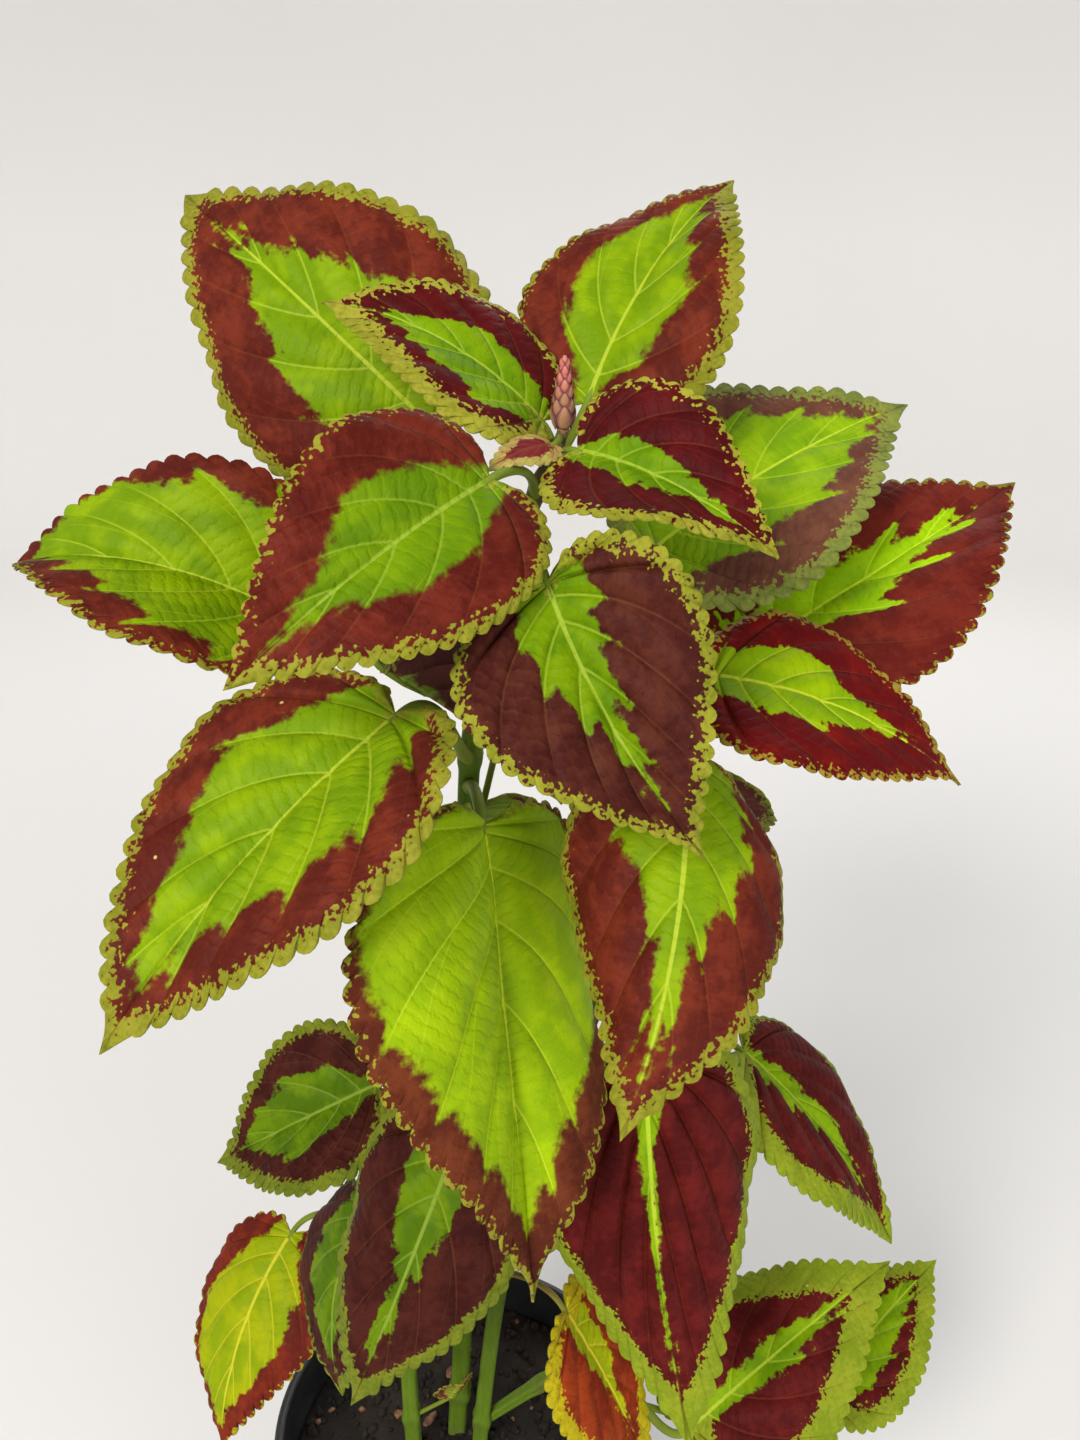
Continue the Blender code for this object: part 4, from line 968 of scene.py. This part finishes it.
def blade_coat(leaf, seed):
    """A leaf's skin. The three zones are thresholds of the 'zone' layer, pushed in and out by
    noise: along the bays for the lime's lobes, fine for the broken olive edge. Thin pale lines
    follow the midrib, the side veins and their forks, and rungs cross each bay like those of a
    ladder: in the bump, and as painted shade in the lime, darker where the grooves between the
    quilts lie. The underside is duller."""
    tone = TONES[leaf.tone]
    lime_a, lime_b, red_a, red_b, rim_a, rim_b = map(tuple, tone[:18].reshape(6, 3) / 1000)
    soft, spikes, broken = tone[18:]
    spikes = spikes * leaf.reach
    coat = Coat(leaf.node + "_skin", {"Specular IOR Level": 0.06})
    flat = coat.layer("flat")
    _, y, share = coat.parts(flat)
    number, out, bay = coat.parts(coat.layer("vein"))
    lime_in, rim_in, under = coat.parts(coat.layer("zone"))
    spot = coat.node("ShaderNodeVectorMath", {0: flat, 1: (3.7 * seed, 1.9 * seed, 0.8 * seed)})
    side = coat.total(number, (coat.do("SIGN", y), 11.3 + seed))
    lane = {"X": side, "Y": coat.times(out, 1.6), "Z": float(seed)}
    streaks = coat.ripple(coat.node("ShaderNodeCombineXYZ", lane), 1.8, 1.0, 0.5)
    patches = coat.ripple(spot, 1.1, 2.0)
    grain = coat.ripple(spot, 4.5, 2.0, 0.6)
    specks = coat.ripple(spot, 8.5, 1.0, 0.5)
    dust = coat.noise(spot, 45.0, 0.0)
    away = coat.times(coat.do("PINGPONG", number, 0.5), bay)

    roomy = coat.step(bay, 1.5, 6.0)
    spike = coat.times(coat.step(away, 2.4, 0.0), coat.total(1.0, (streaks, 3.0)))
    spike = coat.times(coat.total(coat.times(spike, spikes), (streaks, 3.5)), roomy)
    calm = 0.45 + 0.55 * min(leaf.reach, 1.0)
    lime_edge = coat.total(lime_in, (spike, 1.0), (patches, 5.5 * calm), (grain, 7.0 * calm))
    lime_part = coat.step(lime_edge, 0.25 * spikes - soft, 0.25 * spikes + soft)
    olive_edge = coat.total(rim_in, (specks, broken), (grain, 0.35 * broken))
    rim_part = coat.step(olive_edge, -0.25, 0.25)

    along, _, _ = coat.parts(coat.layer("rung"))
    bow = coat.total(coat.times(along, 0.34), (coat.do("FLOOR", number), 0.37), (grain, 1.0))
    rung = coat.do("PINGPONG", bow, 0.5)
    # Painted shade: a mask on the rung lines, where the bump's grooves between the quilts lie
    painted_rung_shade = coat.times(coat.step(rung, 0.10, 0.0), roomy)

    drawn = coat.times(streaks, roomy)
    lime = coat.step(coat.total(patches, (drawn, 0.4)), -0.12, 0.16)
    lime = coat.blend(lime, lime_b, lime_a)
    lime = coat.blend(coat.times(coat.step(share, 0.20, 0.0), 0.45), lime, lime_b)
    # The lime darkened along the rungs: painted shade of the grooves
    lime = coat.blend(coat.times(painted_rung_shade, 0.26), lime, lime_b)
    red = coat.blend(coat.step(coat.total(patches, (grain, 0.5)), -0.15, 0.18), red_b, red_a)
    red = coat.blend(coat.times(dust, 0.04), red, (0.25, 0.10, 0.08))
    olive = coat.blend(coat.step(coat.total(patches, (specks, 0.8)), -0.2, 0.2), rim_b, rim_a)
    colour = coat.blend(lime_part, red, lime)
    colour = coat.blend(rim_part, colour, olive)

    side_line = coat.step(coat.less(away, coat.total(0.24, (out, -0.14))), 0.16, -0.08)
    fork = coat.times(coat.step(out, 0.30, 0.98), 0.5)
    fork = coat.do("ABSOLUTE", coat.less(coat.do("FRACT", number), fork))
    fork = coat.step(coat.less(coat.times(fork, bay), 0.10), 0.12, -0.06)
    fork_line = coat.times(fork, coat.step(out, 0.34, 0.50))
    lines = coat.do("MAXIMUM", coat.times(side_line, 0.50), coat.times(fork_line, 0.26))
    lines = coat.times(lines, coat.step(out, 1.0, 0.72))
    across = coat.times(coat.do("ABSOLUTE", y), 10.0)
    mid_line = coat.step(coat.less(across, coat.total(0.56, (share, -0.38))), 0.14, -0.10)
    mid_line = coat.times(mid_line, coat.step(share, 1.0, 0.78))
    lines = coat.do("MAXIMUM", lines, coat.times(mid_line, 0.85))
    pale = (1.85 * lime_a[0], 1.48 * lime_a[1], 0.030)
    vein_tint = coat.blend(lime_part, coat.blend(0.20, red, (0.30, 0.13, 0.04)), pale)
    colour = coat.blend(lines, colour, vein_tint)
    if leaf.node in SPOTTED:
        wanted = {"Vector": spot, "Scale": 0.62, "Randomness": 1.0}
        dots = coat.node("ShaderNodeTexVoronoi", wanted, "Distance")
        colour = coat.blend(coat.step(dots, 0.034, 0.018), colour, (0.52, 0.37, 0.13))
    dull = coat.do("MAXIMUM", lime_part, rim_part)
    dull = coat.blend(dull, (0.115, 0.048, 0.046), (0.165, 0.200, 0.080))
    colour = coat.blend(under, colour, coat.blend(0.34, colour, dull))

    rough = coat.total(0.50, (lime_part, -0.06), (dust, 0.10), (under, 0.12))
    pillow = coat.times(coat.step(rung, 0.0, 0.34), roomy)
    relief = coat.total(coat.times(pillow, 0.6), (grain, 0.5))
    return coat.finish(colour, rough, relief, 0.0004, 0.6)


def petiole_coat():
    """Petiole skin: pale green with a pinkish flush in places, finely rough."""
    coat = Coat("petiole_skin", {"Sheen Weight": 0.01, "Specular IOR Level": 0.12})
    place = coat.place()
    way, flush, _ = coat.parts(coat.layer("vein"))
    patches = coat.noise(place, 160.0, 3.0)
    colour = coat.blend(patches, (0.100, 0.165, 0.008), (0.185, 0.265, 0.020))
    pink = coat.times(flush, coat.step(way, 1.3, 0.7))
    colour = coat.blend(pink, colour, (0.33, 0.075, 0.060))
    return coat.finish(colour, 0.5, coat.noise(place, 2600.0, 2.0), 0.00015, 0.4)


petiole_skin = petiole_coat()
for seed, words in enumerate(LEAVES):
    shape = Leaf(words)
    name = shape.node
    points, triangles, layers = blade_mesh(shape, seed)
    tube, tube_triangles, way = petiole_tube(shape)
    none = np.zeros((len(tube), 3))
    tube_layers = {"vein": np.stack([way, 0 * way + shape.flush, 0 * way], axis=1)}
    layers = {k: np.concatenate([a, tube_layers.get(k, none)]) for k, a in layers.items()}
    coat_of = np.repeat((0, 1), (len(triangles), len(tube_triangles)))
    leaf = add_piece(
        name + "_blade",
        np.concatenate([points, tube]),
        np.concatenate([triangles, tube_triangles[:, ::-1] + len(points)]),
        [blade_coat(shape, seed), petiole_skin], coat_of, layers, BLADE_CREASE,
    )
    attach(leaf, "root")
    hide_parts(name)


# ---- Flower spike
# A young spike at the top of the main stem, not yet open: pointed bracts overlap in four rows
# round a short axis, pink at the top and tan with purple edges below.

SPIKE_HEIGHT = 0.0165
SPIKE_LEAN = (0.0003, 0.001)
SPIKE_RADIUS = 0.0022
CORE_STEPS = 14
CORE_SIDES = 16
BRACT_RINGS = 8
BRACT_HALF_WIDTH = 0.0021
BRACT_HEIGHT = 0.0052
BRACT_THICKNESS = 0.00022
BRACT_POINTS = 9


def bract_shell(height, turn, size):
    """One bract: a cupped, pointed scale, wide at a third of its height and bent in at its tip,
    as an inner and an outer sheet that meet at the edge."""
    up = np.linspace(0, 1, BRACT_POINTS)[:, None]
    side = np.linspace(-1, 1, BRACT_POINTS)[None, :]
    y = side * BRACT_HALF_WIDTH * size * (np.sin(np.pi * up**0.72)) ** 0.8
    z = BRACT_HEIGHT * size * up + 0 * y
    out = SPIKE_RADIUS * size * (0.55 + 0.75 * np.sin(np.pi * 0.62 * up + 0.3))
    cupped = out - 0.55 * y**2 / (SPIKE_RADIUS * size)
    sheets = [np.stack([*swung(cupped - depth * (1 - side**2), y, turn), z], axis=-1)
              for depth in (0.0, BRACT_THICKNESS)]
    points = np.concatenate([sheet.reshape(-1, 3) for sheet in sheets]) + height
    face = grid_triangles(BRACT_POINTS, BRACT_POINTS, False)
    layer = np.stack([up + 0 * y, np.abs(side) + 0 * y, 0 * y], axis=-1).reshape(-1, 3)
    triangles = np.concatenate([face, face[:, ::-1] + BRACT_POINTS**2])
    return points, triangles, np.tile(layer, (2, 1))


def bract_coat():
    """Bract skin: pink above, tan below, purple along the edges. The layer 'bract' holds the
    share of the bract's height, of its half width and the spike's height."""
    coat = Coat("bract_skin", {"Sheen Weight": 0.05, "Specular IOR Level": 0.2})
    up, side, high = coat.parts(coat.layer("bract"))
    patches = coat.noise(coat.place(), 900.0, 3.0)
    low = coat.blend(patches, (0.29, 0.130, 0.062), (0.41, 0.215, 0.105))
    pink = coat.blend(patches, (0.50, 0.125, 0.095), (0.60, 0.21, 0.15))
    colour = coat.blend(coat.step(high, 0.25, 0.75), low, pink)
    rim = coat.times(coat.step(coat.total(side, (up, 0.25)), 0.50, 1.00), 0.85)
    colour = coat.blend(rim, colour, (0.115, 0.020, 0.040))
    return coat.finish(colour, 0.55, patches, 0.0002, 0.4)


foot = np.array(STEMS["stem_main"][0][-1]) * CM
axis = np.array([*SPIKE_LEAN, SPIKE_HEIGHT])
core_path = foot + axis * np.linspace(-0.05, 1.0, CORE_STEPS)[:, None]
core_turn = round_turns(CORE_SIDES)
core_ring = np.stack([np.cos(core_turn), np.sin(core_turn)], axis=1)
way = np.linspace(0, 1, CORE_STEPS)
core_size = SPIKE_RADIUS * np.interp(way, (0, 0.25, 0.6, 0.9, 1), (0.6, 0.8, 0.7, 0.45, 0.15))
points, triangles = carried(core_path, core_ring, core_size)
way = np.repeat(np.pad(way, 1, "edge"), CORE_SIDES)
all_points, all_triangles = [points], [triangles]
all_layers = [np.stack([way, 0 * way, way], axis=1)]
for ring in range(BRACT_RINGS):
    share = ring / (BRACT_RINGS - 1)
    for quarter in range(4):
        turn = math.pi / 2 * quarter + math.pi / 4 * (ring % 2) + 0.1
        height = foot + axis * (0.02 + 0.80 * share)
        points, triangles, layer = bract_shell(height, turn, 1.06 - 0.60 * share)
        layer[:, 2] = share
        all_triangles.append(triangles + sum(len(p) for p in all_points))
        all_points.append(points)
        all_layers.append(layer)
spike = add_piece("flower_spike_bracts", np.concatenate(all_points), np.concatenate(all_triangles),
                  [bract_coat()], layers={"bract": np.concatenate(all_layers)})
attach(spike, "root")
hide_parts("flower_spike")


# ---- Studio
# A pale floor that sweeps up into a pale round wall, soft lights from above and both sides, and
# the camera close in front, above the leaves and tilted down.

FLOOR_REACH = 2.6
FLOOR_BEND = 0.6
WALL_HEIGHT = 3.0
SWEEP_TURNS = 96


def sweep_coat():
    """Pale matt paper that glows a little, so that floor and wall look alike: less where the key
    light falls on the floor, and more behind the lights, where none falls."""
    coat = Coat("studio_sweep", {"Specular IOR Level": 0.0})
    coat.material.cycles.emission_sampling = "NONE"
    place = coat.place()
    x, y, z = coat.parts(place)
    away = coat.do("SQRT", coat.total(coat.times(x, x), (y, y)))
    far = coat.step(away, 0.0, 1.6)
    cloud = coat.times(coat.noise(place, 1.2, 2.0), 0.05)
    colour = coat.blend(far, (0.66, 0.65, 0.635), (0.80, 0.785, 0.765))
    lit = coat.times(coat.step(y, -0.15, -0.80), coat.step(y, -1.7, -1.1))
    colour = coat.blend(lit, colour, (0.32, 0.316, 0.312))
    behind = coat.times(coat.step(y, -0.95, -1.55), coat.step(z, 1.8, 0.2))
    glow = coat.total(coat.do("ADD", cloud, 0.06), (far, 0.13), (coat.step(z, 0.0, 1.1), -0.09))
    glow = coat.total(glow, (coat.times(lit, far), -0.15), (behind, 0.20))
    coat.join((1.0, 0.985, 0.965), coat.shader.inputs["Emission Color"])
    coat.join(glow, coat.shader.inputs["Emission Strength"])
    return coat.finish(colour, 0.9)


sweep = np.vstack([
    [(0.0, 0.0), (0.3, 0.0), (1.0, 0.0)],
    arc(FLOOR_REACH - FLOOR_BEND, FLOOR_BEND, FLOOR_BEND, FLOOR_BEND, -90, 0, 16),
    [(FLOOR_REACH, 1.6), (FLOOR_REACH, WALL_HEIGHT)],
])
floor = add_piece("studio_floor", *turned(sweep, SWEEP_TURNS), [sweep_coat()])


def soft_light(name, where, towards, size, power, colour):
    """A round lamp at one point, turned so that its own -z looks towards another: tipped by the
    angle from straight down, then turned about the upright axis."""
    lamp = bpy.data.lights.new(name, "AREA")
    lamp.shape, lamp.size, lamp.energy, lamp.color = "DISK", size, power, colour
    piece = bpy.data.objects.new(name, lamp)
    ahead = unit(np.array(towards) - np.array(where))
    piece.location = where
    piece.rotation_euler = (math.acos(-ahead[2]), 0.0, math.atan2(ahead[0], -ahead[1]) + math.pi)
    piece.visible_camera = False
    bpy.context.scene.collection.objects.link(piece)


soft_light("key", (-0.60, -1.05, 1.15), (0.0, 0.0, 0.34), 0.6, 22.0, (1.0, 0.97, 0.93))
soft_light("fill", (0.9, -1.1, 0.55), (0.0, 0.0, 0.25), 1.0, 8.0, (0.95, 0.97, 1.0))
soft_light("back", (0.3, 1.2, 1.4), (0.0, 0.0, 0.3), 1.0, 7.0, (1.0, 1.0, 1.0))

world = bpy.data.worlds.new("studio")
world.use_nodes = True
sky = world.node_tree.nodes["Background"]
sky.inputs["Color"].default_value = (0.93, 0.95, 1.0, 1.0)
sky.inputs["Strength"].default_value = 0.35
bpy.context.scene.world = world
bpy.context.scene.view_settings.view_transform = "Standard"

lens = bpy.data.cameras.new("camera")
lens.lens = 27.075
lens.sensor_width = 36.0
lens.clip_start = 0.01
camera = bpy.data.objects.new("camera", lens)
camera.location = (0.0265, -0.255, 0.445)
camera.rotation_euler = (math.radians(69.5), 0.0, 0.0)
bpy.context.scene.collection.objects.link(camera)
bpy.context.scene.camera = camera
